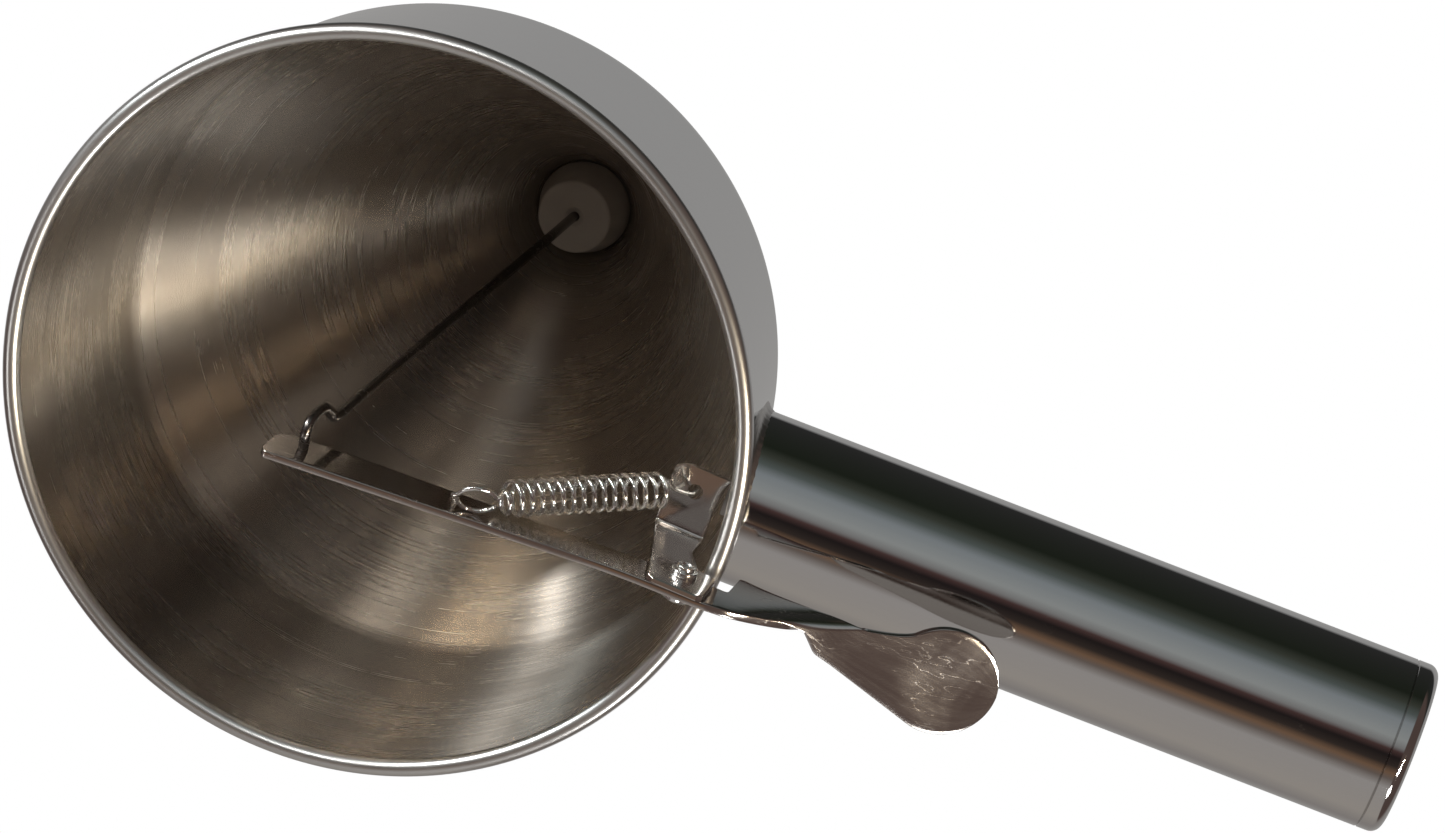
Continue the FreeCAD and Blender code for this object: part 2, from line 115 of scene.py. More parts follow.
def colour(name, default, description):
    """A linear colour."""
    return bpy.props.FloatVectorProperty(name=name, description=description, default=default,
                                         size=3, min=0.0, max=1.0, subtype="COLOR")


class FunnelBowlSizes(bpy.types.PropertyGroup):
    """Sizes of the spun bowl and its outlet."""
    rim_radius: length("Rim radius", SHELL_BOX[1].x, "Outer radius of the rolled rim")
    rim_height: length("Rim height", SHELL_BOX[1].z, "Height of the rim above the outlet's end")
    bead: length("Bead radius", 1.7 * MM, "Radius of the rolled bead")
    wall: length("Wall", 0.9 * MM, "Sheet thickness of the bowl")
    taper: length("Band taper", 5.2 * MM, "How much narrower the band is at its foot")
    band: length("Band height", 55 * MM, "Height of the nearly straight band")
    bend: length("Bend radius", 15 * MM, "Radius of the bend between band and cone")
    outlet_radius: length("Outlet radius", SPOUT_BOX[1].x - MM, "Inner radius of the outlet")
    outlet_wall: length("Outlet wall", 1.0 * MM, "Sheet thickness of the outlet")


class FunnelGripSizes(bpy.types.PropertyGroup):
    """Sizes of the tube handle and its end cap."""
    radius: length("Tube radius", 16.8 * MM, "Outer radius of the tube")
    wall: length("Tube wall", 1.0 * MM, "Sheet thickness of the tube")
    drop: length("Drop", 28.2 * MM, "How far below the rim the tube's axis meets the bowl's axis")
    tilt: turn("Tilt", 6.5, "Slope of the tube, down and outwards")
    reach: length("Reach", 124.5 * MM, "From the rim to the end of the tube")
    cap: length("Cap length", 5 * MM, "Visible length of the end cap")
    cap_round: length("Cap rounding", 3 * MM, "Rounding of the end cap")
    weld: length("Weld", 1.5 * MM, "Leg of the weld at the tube's root")


class FunnelLeverSizes(bpy.types.PropertyGroup):
    """Sizes of the lever, its bracket and its rivet."""
    sheet: length("Lever sheet", 1.5 * MM, "Sheet thickness of the lever")
    edge: length("Edge rounding", 0.25 * MM, "Rounding of the sheet's cut edges")
    pad_radius: length("Pad radius", 10.6 * MM, "Radius of the thumb pad")
    pad_slope: turn("Pad slope", 17.7, "Slope of the thumb pad, down and outwards")
    pad_dish: length("Pad dish", 0.12 * MM, "Depth of the hollow pressed into the thumb pad")
    bracket: length("Bracket sheet", 1.2 * MM, "Sheet thickness of the bracket")
    pin: length("Rivet radius", 1.5 * MM, "Radius of the rivet's shank")


class FunnelValveSizes(bpy.types.PropertyGroup):
    """Sizes of the valve wire and the spring."""
    wire: length("Valve wire radius", 1.0 * MM, "Radius of the valve wire")
    coil: length("Coil radius", 3.15 * MM, "Mean radius of the spring's coil")
    spring_wire: length("Spring wire radius", 0.45 * MM, "Radius of the spring's wire")
    eye: length("Eye radius", 3.7 * MM, "Radius of the ring at the spring's end")
    turns: bpy.props.IntProperty(name="Turns", description="Turns of the coil", default=16, min=4)


class FunnelFinishes(bpy.types.PropertyGroup):
    """Colours of the metals and of the stopper."""
    inside: colour("Inside", (0.50, 0.455, 0.405), "Brushed steel inside the bowl")
    outside: colour("Outside", (0.60, 0.595, 0.585), "Polished steel outside the bowl")
    grip: colour("Grip", (0.62, 0.61, 0.60), "Mirror steel of the tube")
    sheet: colour("Sheet", (0.62, 0.58, 0.55), "Polished sheet of lever and bracket")
    spring: colour("Spring", (0.80, 0.80, 0.79), "Bright wire of the spring")
    wire: colour("Valve wire", (0.17, 0.155, 0.145), "Drawn wire of the valve")
    weld: colour("Weld", (0.50, 0.48, 0.46), "Weld metal")
    stopper: colour("Stopper", (0.33, 0.31, 0.29), "Moulded stopper")
    brushing: share("Brushing", 1.0, "How strongly the brushed inside spreads light across the grain")


class FunnelStageSettings(bpy.types.PropertyGroup):
    """Camera and floor."""
    lens: bpy.props.FloatProperty(name="Lens", description="Focal length in millimetres", default=206.61)
    eye: bpy.props.FloatVectorProperty(name="Camera place", description="Place of the camera",
                                       default=(0.24574, 0.52302, 1.60532), unit="LENGTH")
    aim: bpy.props.FloatVectorProperty(name="Camera turn", description="Turn of the camera, XYZ",
                                       default=[math.radians(a) for a in (-15.360, 13.538, 20.183)],
                                       subtype="EULER")
    floor: length("Floor height", -0.5 * MM, "Height of the floor")
    floor_size: length("Floor size", 6.0, "Radius of the floor")


# ---- shapes worked out as arrays -----------------------------------------
def unit(v):
    """Vectors of length one."""
    v = np.asarray(v, float)
    return v / np.linalg.norm(v, axis=-1, keepdims=True)


def rounded(points, radii, steps=8):
    """A run of straight lines whose corners are arcs: an arc touches both its lines, and its
    centre lies on the corner's bisector at radius / sin(half the corner's angle)."""
    p = np.asarray(points, float)
    t = np.linspace(0, 1, steps + 1)[:, None]
    run = [p[:1]]
    for before, corner, after, radius in zip(p[:-2], p[1:-1], p[2:], radii):
        a = unit(before - corner)
        b = unit(after - corner)
        half = math.acos(np.clip(a @ b, -1, 1)) / 2
        centre = corner + unit(a + b) * radius / math.sin(half)
        start = corner + a * radius / math.tan(half) - centre
        stop = corner + b * radius / math.tan(half) - centre
        swing = math.pi - 2 * half
        arc = (np.sin((1 - t) * swing) * start + np.sin(t * swing) * stop) / math.sin(swing)
        run.append(centre + arc)
    run.append(p[-1:])
    return np.concatenate(run)


def rounded_loop(points, radii, steps=6):
    """A closed outline whose corners are arcs."""
    p = np.asarray(points, float)
    run = rounded(np.concatenate([p[-1:], p, p[:1]]), radii, steps)
    return run[1:-1]


def turned(line, segments, origin=(0, 0, 0), axes=(X, Y, Z)):
    """Surface of revolution: radius * cos a and radius * sin a across, height along the axis."""
    a = np.linspace(0, 2 * np.pi, segments, endpoint=False)
    r = line[:, :1]
    flat = np.stack([r * np.cos(a), r * np.sin(a), line[:, 1:2] + 0 * a], -1)
    return flat @ np.array(axes) + np.asarray(origin, float)


def carried_sides(along):
    """A side vector for each station that is carried along the path with the least turning: the
    twist between neighbouring first guesses is summed and taken out again."""
    guess = unit(np.cross(along, np.eye(3)[np.abs(along).argmin(axis=1)]))
    other = np.cross(along, guess)
    both = along[:-1] + along[1:]
    lean = (along[1:] * guess[:-1]).sum(1) / (1 + (along[:-1] * along[1:]).sum(1))
    moved = guess[:-1] - both * lean[:, None]
    twist = np.arctan2((moved * other[1:]).sum(1), (moved * guess[1:]).sum(1))
    angle = np.concatenate([[0], np.cumsum(twist)])[:, None]
    side = np.cos(angle) * guess + np.sin(angle) * other
    return side, np.cross(along, side)


def wire(path, radius, sides=20, dome=0.6):
    """Round wire along a path: centre + radius * (cos a * side + sin a * up), with a low dome on
    each end, where the radius falls as cos and the height grows as sin."""
    along = unit(np.gradient(path, axis=0))
    t = np.linspace(0, np.pi / 2, 5)[:, None]
    first = path[0] - along[0] * np.sin(t[::-1]) * radius * dome
    last = path[-1] + along[-1] * np.sin(t) * radius * dome
    centre = np.concatenate([first[:-1], path, last[1:]])
    size = np.concatenate([np.cos(t[::-1])[:-1, 0], np.ones(len(path)), np.cos(t)[1:, 0]]) * radius
    along = np.concatenate([np.repeat(along[:1], 4, 0), along, np.repeat(along[-1:], 4, 0)])
    side, up = carried_sides(along)
    a = np.linspace(0, 2 * np.pi, sides, endpoint=False)[None, :, None]
    ring = np.cos(a) * side[:, None] + np.sin(a) * up[:, None]
    return centre[:, None] + ring * size[:, None, None]


def smooth_path(points, steps=12):
    """Catmull-Rom curve through the points: each span is a cubic whose end slopes are half the
    way from the point before to the point after."""
    p = np.asarray(points, float)
    p = np.concatenate([2 * p[:1] - p[1:2], p, 2 * p[-1:] - p[-2:-1]])
    t = np.linspace(0, 1, steps, endpoint=False)[:, None]
    a, b, c, d = p[:-3, None], p[1:-2, None], p[2:-1, None], p[3:, None]
    spans = b + 0.5 * t * (c - a + t * (2 * a - 5 * b + 4 * c - d + t * (3 * (b - c) + d - a)))
    return np.concatenate([spans.reshape(-1, 3), p[-2:-1]])


def hermite(start, leave, stop, arrive, t):
    """Cubic from start to stop with the slopes leave and arrive."""
    t = t[:, None]
    return ((2 * t - 3) * t * t + 1) * start + (t * (t - 2) + 1) * t * leave \
        + (3 - 2 * t) * t * t * stop + (t - 1) * t * t * arrive


def ribbon(left, right, thick, edge, columns=10, dish=None):
    """Strip of sheet between two edge lines. Each station is a rectangle with corner arcs of
    radius edge, as wide as the edge lines are apart; both ends are chamfered and closed."""
    across = right - left
    width = np.linalg.norm(across, axis=1, keepdims=True)
    steady = np.maximum(width, MERGE)
    keep = width[:, 0] > 10 * MERGE
    across = np.where(width > 10 * MERGE, across / steady, across[keep][-1] / steady[keep][-1])
    centre = (left + right) / 2
    along = unit(np.gradient(centre, axis=0))
    up = unit(np.cross(across, along))
    q = np.linspace(0, np.pi / 2, 4)
    flat = np.linspace(-1, 1, columns)[1:-1]
    corner_x = [np.sin(q), np.cos(q), -np.sin(q), -np.cos(q)]
    corner_y = [np.cos(q), -np.sin(q), -np.cos(q), np.sin(q)]
    none = 0 * flat
    kx = np.concatenate([flat, 1 + 0 * q, 1 + 0 * q, -flat, -1 + 0 * q, -1 + 0 * q])
    ky = np.concatenate([1 + none, 1 + 0 * q, -1 + 0 * q, none - 1, -1 + 0 * q, 1 + 0 * q])
    ax = np.concatenate([none, corner_x[0], corner_x[1], none, corner_x[2], corner_x[3]])
    ay = np.concatenate([1 + none, corner_y[0], corner_y[1], none - 1, corner_y[2], corner_y[3]])
    soft = np.minimum(np.minimum(edge, width / 2), thick / 2)

    def section(inset):
        wide = np.maximum(width / 2 - soft - inset, 0) * kx + soft * ax
        high = (thick / 2 - soft - inset) * ky + soft * ay
        return centre[:, None] + wide[..., None] * across[:, None] + high[..., None] * up[:, None]

    full = section(0)
    chamfer = section(edge)
    shift = along * edge
    middle = np.repeat(centre[:, None], full.shape[1], 1)
    rows = [middle[:1] - shift[0], chamfer[:1] - shift[0], full, chamfer[-1:] + shift[-1],
            middle[-1:] + shift[-1]]
    points = np.concatenate(rows)
    if dish is not None:
        points = points + dish(points)
    return points


def run_lengths(points, axis, closed):
    """Mean distance travelled along one direction of a grid."""
    step = np.diff(points, axis=axis, append=points.take([0], axis)) if closed \
        else np.diff(points, axis=axis)
    mean = np.linalg.norm(step, axis=-1).mean(axis=1 - axis)
    return np.concatenate([[0], np.cumsum(mean)])


def patch(points, close_rows=False, close_cols=True, grain_in_rows=False, finish=0):
    """A grid of points with its quads and its UV. U runs across the grain and V along it, in
    metres. The grain follows a row of the grid if grain_in_rows, else it crosses the rows."""
    rows, cols = points.shape[:2]
    i, j = np.meshgrid(np.arange(rows if close_rows else rows - 1),
                       np.arange(cols if close_cols else cols - 1), indexing="ij")
    corners = [(i, j), (i + 1, j), (i + 1, j + 1), (i, j + 1)]
    quads = np.stack([(a % rows) * cols + b % cols for a, b in corners], -1).reshape(-1, 4)
    down = run_lengths(points, 0, close_rows)
    over = run_lengths(points, 1, close_cols)
    first = np.stack([down[a] for a, _ in corners], -1).reshape(-1)
    second = np.stack([over[b] for _, b in corners], -1).reshape(-1)
    uv = np.stack([first, second] if grain_in_rows else [second, first], -1)
    return points.reshape(-1, 3), quads, uv, np.full(len(quads), finish, np.int32)


def make_piece(name, patches, materials, sharp=35.0):
    """Joins patches into one closed mesh, merges the points that they share and turns its faces
    outwards."""
    sizes = [len(p[0]) for p in patches]
    starts = np.concatenate([[0], np.cumsum(sizes)[:-1]])
    points = np.concatenate([p[0] for p in patches])
    quads = np.concatenate([p[1] + s for p, s in zip(patches, starts)])
    mesh = bpy.data.meshes.new(name)
    mesh.from_pydata(points.tolist(), [], quads.tolist())
    layer = mesh.uv_layers.new(name=GRAIN_MAP)
    layer.data.foreach_set("uv", np.concatenate([p[2] for p in patches]).ravel())
    mesh.polygons.foreach_set("material_index", np.concatenate([p[3] for p in patches]))
    for material in materials:
        mesh.materials.append(material)
    bm = bmesh.new()
    bm.from_mesh(mesh)
    bmesh.ops.remove_doubles(bm, verts=bm.verts, dist=MERGE)
    bmesh.ops.recalc_face_normals(bm, faces=bm.faces)
    bm.to_mesh(mesh)
    bm.free()
    mesh.shade_smooth()
    mesh.set_sharp_from_angle(angle=math.radians(sharp))
    piece = bpy.data.objects.new(name, mesh)
    bpy.context.scene.collection.objects.link(piece)
    return piece


def pierce(piece, bars, sharp=35.0):
    """Cuts round holes: each bar is (start, end, radius)."""
    drills = [patch(wire(np.linspace(a, b, 3), radius, 40, 0.1)) for a, b, radius in bars]
    cutter = make_piece("cutter", drills, [])
    cut = piece.modifiers.new("Holes", "BOOLEAN")
    cut.object = cutter
    cut.solver = "EXACT"
    graph = bpy.context.evaluated_depsgraph_get()
    mesh = bpy.data.meshes.new_from_object(piece.evaluated_get(graph),
                                           preserve_all_data_layers=True, depsgraph=graph)
    if not len(mesh.polygons):
        raise RuntimeError("cutting the holes of " + piece.name + " left nothing")
    piece.modifiers.clear()
    old, piece.data = piece.data, mesh
    bpy.data.meshes.remove(old)
    bpy.data.objects.remove(cutter)
    mesh.name = piece.name
    mesh.set_sharp_from_angle(angle=math.radians(sharp))


def seat(piece, body, slot, *nodes):
    """Rides the piece on its body, in place of its CAD nodes. The slot is not used."""
    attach(piece, body)
    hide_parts(*nodes)


# ---- the places that several pieces share --------------------------------
def wall_line(bowl, offset):
    """Inside of the bowl from the outlet up to under the bead, as (radius, height), moved
    outwards by offset: a cone, an arc and the nearly straight band."""
    band_top = bowl.rim_radius - 2 * bowl.bead
    outlet_top = SPOUT_BOX[1].z
    rim = np.array([band_top, bowl.rim_height - bowl.bead])
    corner = np.array([band_top - bowl.taper, bowl.rim_height - bowl.band])
    low = np.array([bowl.outlet_radius, outlet_top])
    up_band = unit(rim - corner)
    up_cone = unit(corner - low)
    out_band = np.array([up_band[1], -up_band[0]])
    out_cone = np.array([up_cone[1], -up_cone[0]])
    out_corner = unit(out_band + out_cone)
    shift = offset / (out_corner @ out_band)
    run = [low + offset * np.array([1 / out_cone[0], 0]), corner + out_corner * shift,
           rim + offset * np.array([1 / out_band[0], 0])]
    return rounded(run, [bowl.bend + offset], 16)


def grip_axes(grip, bowl):
    """Start and directions of the tube: its axis, and the two directions across it."""
    axis = np.array([math.cos(grip.tilt), 0, -math.sin(grip.tilt)])
    side = Y
    up = np.cross(axis, side)
    return np.array([0, 0, bowl.rim_height - grip.drop]), axis, side, up


def meets_wall(grip, bowl, radius, angle, offset):
    """Distance along the tube's axis at which a line of the tube, at this radius and angle,
    comes out of the bowl's wall: found by stepping to the wall's radius at the line's height."""
    start, axis, side, up = grip_axes(grip, bowl)
    line = wall_line(bowl, offset)
    around = np.cos(angle)[:, None] * side + np.sin(angle)[:, None] * up
    s = np.full(len(angle), 0.9 * bowl.rim_radius)
    for _ in range(WALL_ROUNDS):
        p = start + radius * around + s[:, None] * axis
        wall = np.interp(p[:, 2], line[:, 1], line[:, 0])
        s = s + (wall - np.hypot(p[:, 0], p[:, 1])) / math.cos(grip.tilt)
    return s


def on_pad(lever, u, v):
    """Point of the thumb pad's middle plane, u down its slope and v beside the lever's face."""
    slope = lever.pad_slope
    along = np.array([math.cos(slope), 0, -math.sin(slope)])
    start = np.array([PIVOT[0] + 25.5 * MM, PIVOT[1] + lever.sheet / 2, PIVOT[2] - 3.8 * MM])
    start = start - np.array([math.sin(slope), 0, math.cos(slope)]) * lever.sheet / 2
    return start + np.multiply.outer(u, along) + np.multiply.outer(v, Y)


def spring_ends():
    """The lever's hole for the spring, in its middle plane, and the hole in the shelf."""
    hole = PIVOT + np.array([-43.3, 0, 8.4]) * MM
    anchor = np.array([PIVOT[0] - 6.1 * MM, PIVOT[1] + 10.45 * MM, PIVOT[2] - SHELF_DROP])
    return hole, anchor


# ---- materials -----------------------------------------------------------
def feed(tree, node, **inputs):
    """Gives inputs of a node their values, or links them where the value is another node's
    output. An input is named in_NAME, with _ for a space, or in_0, in_1."""
    for key, value in inputs.items():
        name = key[3:].replace("_", " ")
        socket = node.inputs[int(name) if name.isdigit() else name]
        if isinstance(value, bpy.types.NodeSocket):
            tree.links.new(value, socket)
        else:
            socket.default_value = value


def add(tree, kind, **settings):
    """A node with some of its settings, and with inputs as feed takes them."""
    made = tree.nodes.new(kind)
    inputs = {key: value for key, value in settings.items() if key.startswith("in_")}
    for key, value in settings.items():
        if key not in inputs:
            setattr(made, key, value)
    feed(tree, made, **inputs)
    return made


def group(name, inputs, outputs):
    """A shader node group with its sockets. Returns the tree, its input node and its output node."""
    tree = bpy.data.node_groups.new(name, "ShaderNodeTree")
    for socket, kind, value in inputs:
        made = tree.interface.new_socket(socket, in_out="INPUT", socket_type=kind)
        if value is not None:
            made.default_value = value
    for socket, kind in outputs:
        tree.interface.new_socket(socket, in_out="OUTPUT", socket_type=kind)
    return tree, tree.nodes.new("NodeGroupInput"), tree.nodes.new("NodeGroupOutput")


def grain_group():
    """Drawn-out noise: stretched along the grain, it gives fine lines, broad bands and a bump
    normal. Its Vector is in metres, with the grain along its X."""
    found = bpy.data.node_groups.get("Metal grain")
    if found:
        return found
    tree, given, out = group("Metal grain", [
        ("Vector", "NodeSocketVector", None), ("Lines per metre", "NodeSocketFloat", 2500.0),
        ("Stretch", "NodeSocketFloat", 60.0), ("Relief", "NodeSocketFloat", 0.1)],
        [("Lines", "NodeSocketFloat"), ("Bands", "NodeSocketFloat"), ("Normal", "NodeSocketVector")])
    lines = given.outputs["Lines per metre"]
    part = add(tree, "ShaderNodeSeparateXYZ", in_0=given.outputs["Vector"])
    slow = add(tree, "ShaderNodeMath", operation="DIVIDE",
               in_0=part.outputs["X"], in_1=given.outputs["Stretch"])
    place = add(tree, "ShaderNodeCombineXYZ",
                in_X=slow.outputs[0], in_Y=part.outputs["Y"], in_Z=part.outputs["Z"])
    fine = add(tree, "ShaderNodeTexNoise", in_Vector=place.outputs[0], in_Scale=lines,
               in_Detail=1.5, in_Roughness=0.5)
    wide = add(tree, "ShaderNodeMath", operation="MULTIPLY", in_0=lines, in_1=BAND_SHARE)
    broad = add(tree, "ShaderNodeTexNoise", in_Vector=place.outputs[0], in_Scale=wide.outputs[0],
                in_Detail=3.0, in_Roughness=0.6)
    bump = add(tree, "ShaderNodeBump", in_Strength=given.outputs["Relief"],
               in_Distance=0.5 * MM, in_Height=fine.outputs["Fac"])
    feed(tree, out, in_Lines=fine.outputs["Fac"], in_Bands=broad.outputs["Fac"],
         in_Normal=bump.outputs["Normal"])
    return tree


def wear_group():
    """Handling marks from Object coordinates: smudges are soft clouds, and scratches are the thin
    lines where a stretched noise passes its middle value."""
    found = bpy.data.node_groups.get("Handling marks")
    if found:
        return found
    tree, given, out = group("Handling marks", [
        ("Smudge size", "NodeSocketFloat", 40.0), ("Scratch size", "NodeSocketFloat", 400.0)],
        [("Smudges", "NodeSocketFloat"), ("Scratches", "NodeSocketFloat")])
    where = add(tree, "ShaderNodeTexCoord").outputs["Object"]
    cloud = add(tree, "ShaderNodeTexNoise", in_Vector=where, in_Scale=given.outputs["Smudge size"],
                in_Detail=4.0, in_Roughness=0.6, in_Distortion=0.4)
    soften = add(tree, "ShaderNodeMapRange", in_Value=cloud.outputs["Fac"], in_1=0.42, in_2=0.68)
    stretch = add(tree, "ShaderNodeMapping", in_Vector=where, in_Rotation=(0.35, 0.2, 0.9),
                  in_Scale=(0.12, 1.0, 0.6))
    lines = add(tree, "ShaderNodeTexNoise", in_Vector=stretch.outputs[0],
                in_Scale=given.outputs["Scratch size"], in_Detail=2.0, in_Roughness=0.5)
    off = add(tree, "ShaderNodeMath", operation="SUBTRACT", in_0=lines.outputs["Fac"], in_1=0.5)
    size = add(tree, "ShaderNodeMath", operation="ABSOLUTE", in_0=off.outputs[0])
    thin = add(tree, "ShaderNodeMapRange", in_Value=size.outputs[0],
               in_1=0.0, in_2=0.006, in_3=1.0, in_4=0.0)
    gate = add(tree, "ShaderNodeMath", operation="MULTIPLY",
               in_0=thin.outputs[0], in_1=soften.outputs[0])
    feed(tree, out, in_Smudges=soften.outputs[0], in_Scratches=gate.outputs[0])
    return tree


def ring_grain(tree, stretch):
    """Place on a grain that rings about Z: X and Y come from the direction round the axis, on a
    circle so small that the noise hardly changes along it, and Z lies across the grain."""
    where = add(tree, "ShaderNodeTexCoord")
    part = add(tree, "ShaderNodeSeparateXYZ", in_0=where.outputs["Object"])
    flat = add(tree, "ShaderNodeCombineXYZ", in_X=part.outputs["X"], in_Y=part.outputs["Y"])
    way = add(tree, "ShaderNodeVectorMath", operation="NORMALIZE", in_0=flat.outputs[0])
    ring = add(tree, "ShaderNodeVectorMath", operation="SCALE", in_0=way.outputs[0],
               in_Scale=GRAIN_RING / stretch)
    round_part = add(tree, "ShaderNodeSeparateXYZ", in_0=ring.outputs[0])
    slow = add(tree, "ShaderNodeMath", operation="MULTIPLY",
               in_0=round_part.outputs["X"], in_1=stretch)
    return add(tree, "ShaderNodeCombineXYZ", in_X=slow.outputs[0], in_Y=part.outputs["Z"],
               in_Z=round_part.outputs["Y"]).outputs[0]


def map_grain(tree):
    """Place on the piece's Grain map, with the grain's own direction first."""
    chart = add(tree, "ShaderNodeUVMap", uv_map=GRAIN_MAP)
    part = add(tree, "ShaderNodeSeparateXYZ", in_0=chart.outputs[0])
    return add(tree, "ShaderNodeCombineXYZ", in_X=part.outputs["Y"],
               in_Y=part.outputs["X"]).outputs[0]


def steel(name, tint, rough, spread, lines=2500.0, stretch=60.0, relief=0.05, anisotropy=0.0,
          ringed=False, smudge=0.06, scratch=0.15, tone=0.12):
    """Steel whose grain follows the piece's Grain map, or rings about Z if ringed. Roughness is
    rough + spread * (lines - 1/2) + smudge * smudges + scratch * scratches, and the colour goes
    from tone / 2 above the tint down to tone below it with the grain."""
    material = bpy.data.materials.new(name)
    material.use_nodes = True
    tree = material.node_tree
    tree.nodes.clear()
    grain = add(tree, "ShaderNodeGroup", node_tree=grain_group(), in_Stretch=stretch,
                in_Lines_per_metre=lines, in_Relief=relief,
                in_Vector=ring_grain(tree, stretch) if ringed else map_grain(tree))
    marks = add(tree, "ShaderNodeGroup", node_tree=wear_group())
    fine = add(tree, "ShaderNodeMath", operation="MULTIPLY_ADD",
               in_0=grain.outputs["Lines"], in_1=spread, in_2=rough - spread / 2)
    dull = add(tree, "ShaderNodeMath", operation="MULTIPLY_ADD",
               in_0=marks.outputs["Smudges"], in_1=smudge, in_2=fine.outputs[0])
    cut = add(tree, "ShaderNodeMath", operation="MULTIPLY_ADD", use_clamp=True,
              in_0=marks.outputs["Scratches"], in_1=scratch, in_2=dull.outputs[0])
    streaks = add(tree, "ShaderNodeMix", data_type="FLOAT", in_0=LINES_SHARE,
                  in_A=grain.outputs["Bands"], in_B=grain.outputs["Lines"])
    shade = add(tree, "ShaderNodeMix", data_type="RGBA", in_Factor=streaks.outputs["Result"],
                in_A=(*[c * (1 + tone / 2) for c in tint], 1),
                in_B=(*[c * (1 - tone) for c in tint], 1))
    shader = add(tree, "ShaderNodeBsdfPrincipled", in_Metallic=1.0, in_Anisotropic=anisotropy,
                 in_Base_Color=shade.outputs["Result"], in_Roughness=cut.outputs[0],
                 in_Normal=grain.outputs["Normal"])
    if anisotropy:
        way = add(tree, "ShaderNodeTangent", direction_type="UV_MAP", uv_map=GRAIN_MAP)
        feed(tree, shader, in_Tangent=way.outputs[0])
    add(tree, "ShaderNodeOutputMaterial", in_Surface=shader.outputs[0])
    return material


def moulded(name, tint):
    """Matt moulded stopper: faint mottling and a fine orange peel."""
    material = bpy.data.materials.new(name)
    material.use_nodes = True
    tree = material.node_tree
    where = add(tree, "ShaderNodeTexCoord").outputs["Object"]
    cloud = add(tree, "ShaderNodeTexNoise", in_Vector=where, in_Scale=220.0, in_Detail=4.0)
    shade = add(tree, "ShaderNodeMix", data_type="RGBA", in_Factor=cloud.outputs["Fac"],
                in_A=(*[c * 0.9 for c in tint], 1),
                in_B=(*[min(1.0, c * 1.12) for c in tint], 1))
    peel = add(tree, "ShaderNodeTexNoise", in_Vector=where, in_Scale=1800.0, in_Detail=3.0)
    bump = add(tree, "ShaderNodeBump", in_Strength=0.15, in_Distance=0.2 * MM,
               in_Height=peel.outputs["Fac"])
    feed(tree, tree.nodes["Principled BSDF"], in_Roughness=0.55,
         in_Base_Color=shade.outputs["Result"], in_Normal=bump.outputs["Normal"])
    return material


def seen_by_camera(tree, seen, other, output):
    """Shows the camera one shader and everything else another."""
    path = add(tree, "ShaderNodeLightPath")
    mix = add(tree, "ShaderNodeMixShader", in_0=path.outputs["Is Camera Ray"],
              in_1=other.outputs[0], in_2=seen.outputs[0])
    add(tree, output, in_Surface=mix.outputs[0])


# ---- pieces --------------------------------------------------------------
class FUNNEL_OT_bowl(bpy.types.Operator):
    """Spun bowl with its rolled rim, and the outlet under it"""
    bl_idname = "funnel.bowl"
    bl_label = "Bowl"

    def execute(self, context):
        bowl = context.scene.funnel_bowl
        finish = context.scene.funnel_finishes
        brushed = steel("Brushed inside", finish.inside, 0.25, 0.12, lines=1900.0, stretch=300.0,
                        relief=0.004, anisotropy=finish.brushing, ringed=True, smudge=0.03,
                        scratch=0.0, tone=0.38)
        polished = steel("Polished outside", finish.outside, 0.05, 0.02, lines=1200.0, stretch=200.0,
                         relief=0.004, ringed=True, smudge=0.03, scratch=0.08, tone=0.04)
        satin = steel("Satin rim", finish.outside, 0.30, 0.08, lines=1500.0, stretch=200.0,
                      relief=0.02, ringed=True, smudge=0.04, scratch=0.05, tone=0.06)
        inner = wall_line(bowl, 0)
        outer = wall_line(bowl, bowl.wall)
        middle = np.array([bowl.rim_radius - bowl.bead, bowl.rim_height - bowl.bead])
        a = np.linspace(np.pi, -np.pi / 2 - 0.45, 26)[:, None]
        bead = middle + bowl.bead * np.concatenate([np.cos(a), np.sin(a)], 1)
        under = outer[outer[:, 1] < bead[-1, 1] - 0.3 * bowl.bead]
        outside = np.concatenate([bead[-1:], under[::-1]])
        whole = patch(turned(inner, BOWL_SIDES), grain_in_rows=True)
        shell = patch(turned(outside, BOWL_SIDES), grain_in_rows=True, finish=1)
        foot = patch(turned(np.array([inner[0], outer[0]]), BOWL_SIDES), grain_in_rows=True, finish=1)
        roll = patch(turned(bead, BOWL_SIDES), grain_in_rows=True, finish=2)
        piece = make_piece("spun_bowl", [whole, shell, foot, roll], [brushed, polished, satin])
        seat(piece, "funnel", "funnel_steel", "funnel_shell")
        top = SPOUT_BOX[1].z
        r0 = bowl.outlet_radius
        r1 = r0 + bowl.outlet_wall
        loop = rounded_loop([(r0, 0), (r1, 0), (r1, top), (r0, top)],
                            [0.3 * MM, 0.3 * MM, 0.02 * MM, 0.02 * MM])
        pipe = make_piece("outlet_pipe", [patch(turned(loop, PIPE_SIDES), True,
                                                 grain_in_rows=True)],
                          [polished])
        seat(pipe, "funnel", "funnel_steel", "outlet_spout")
        return {"FINISHED"}


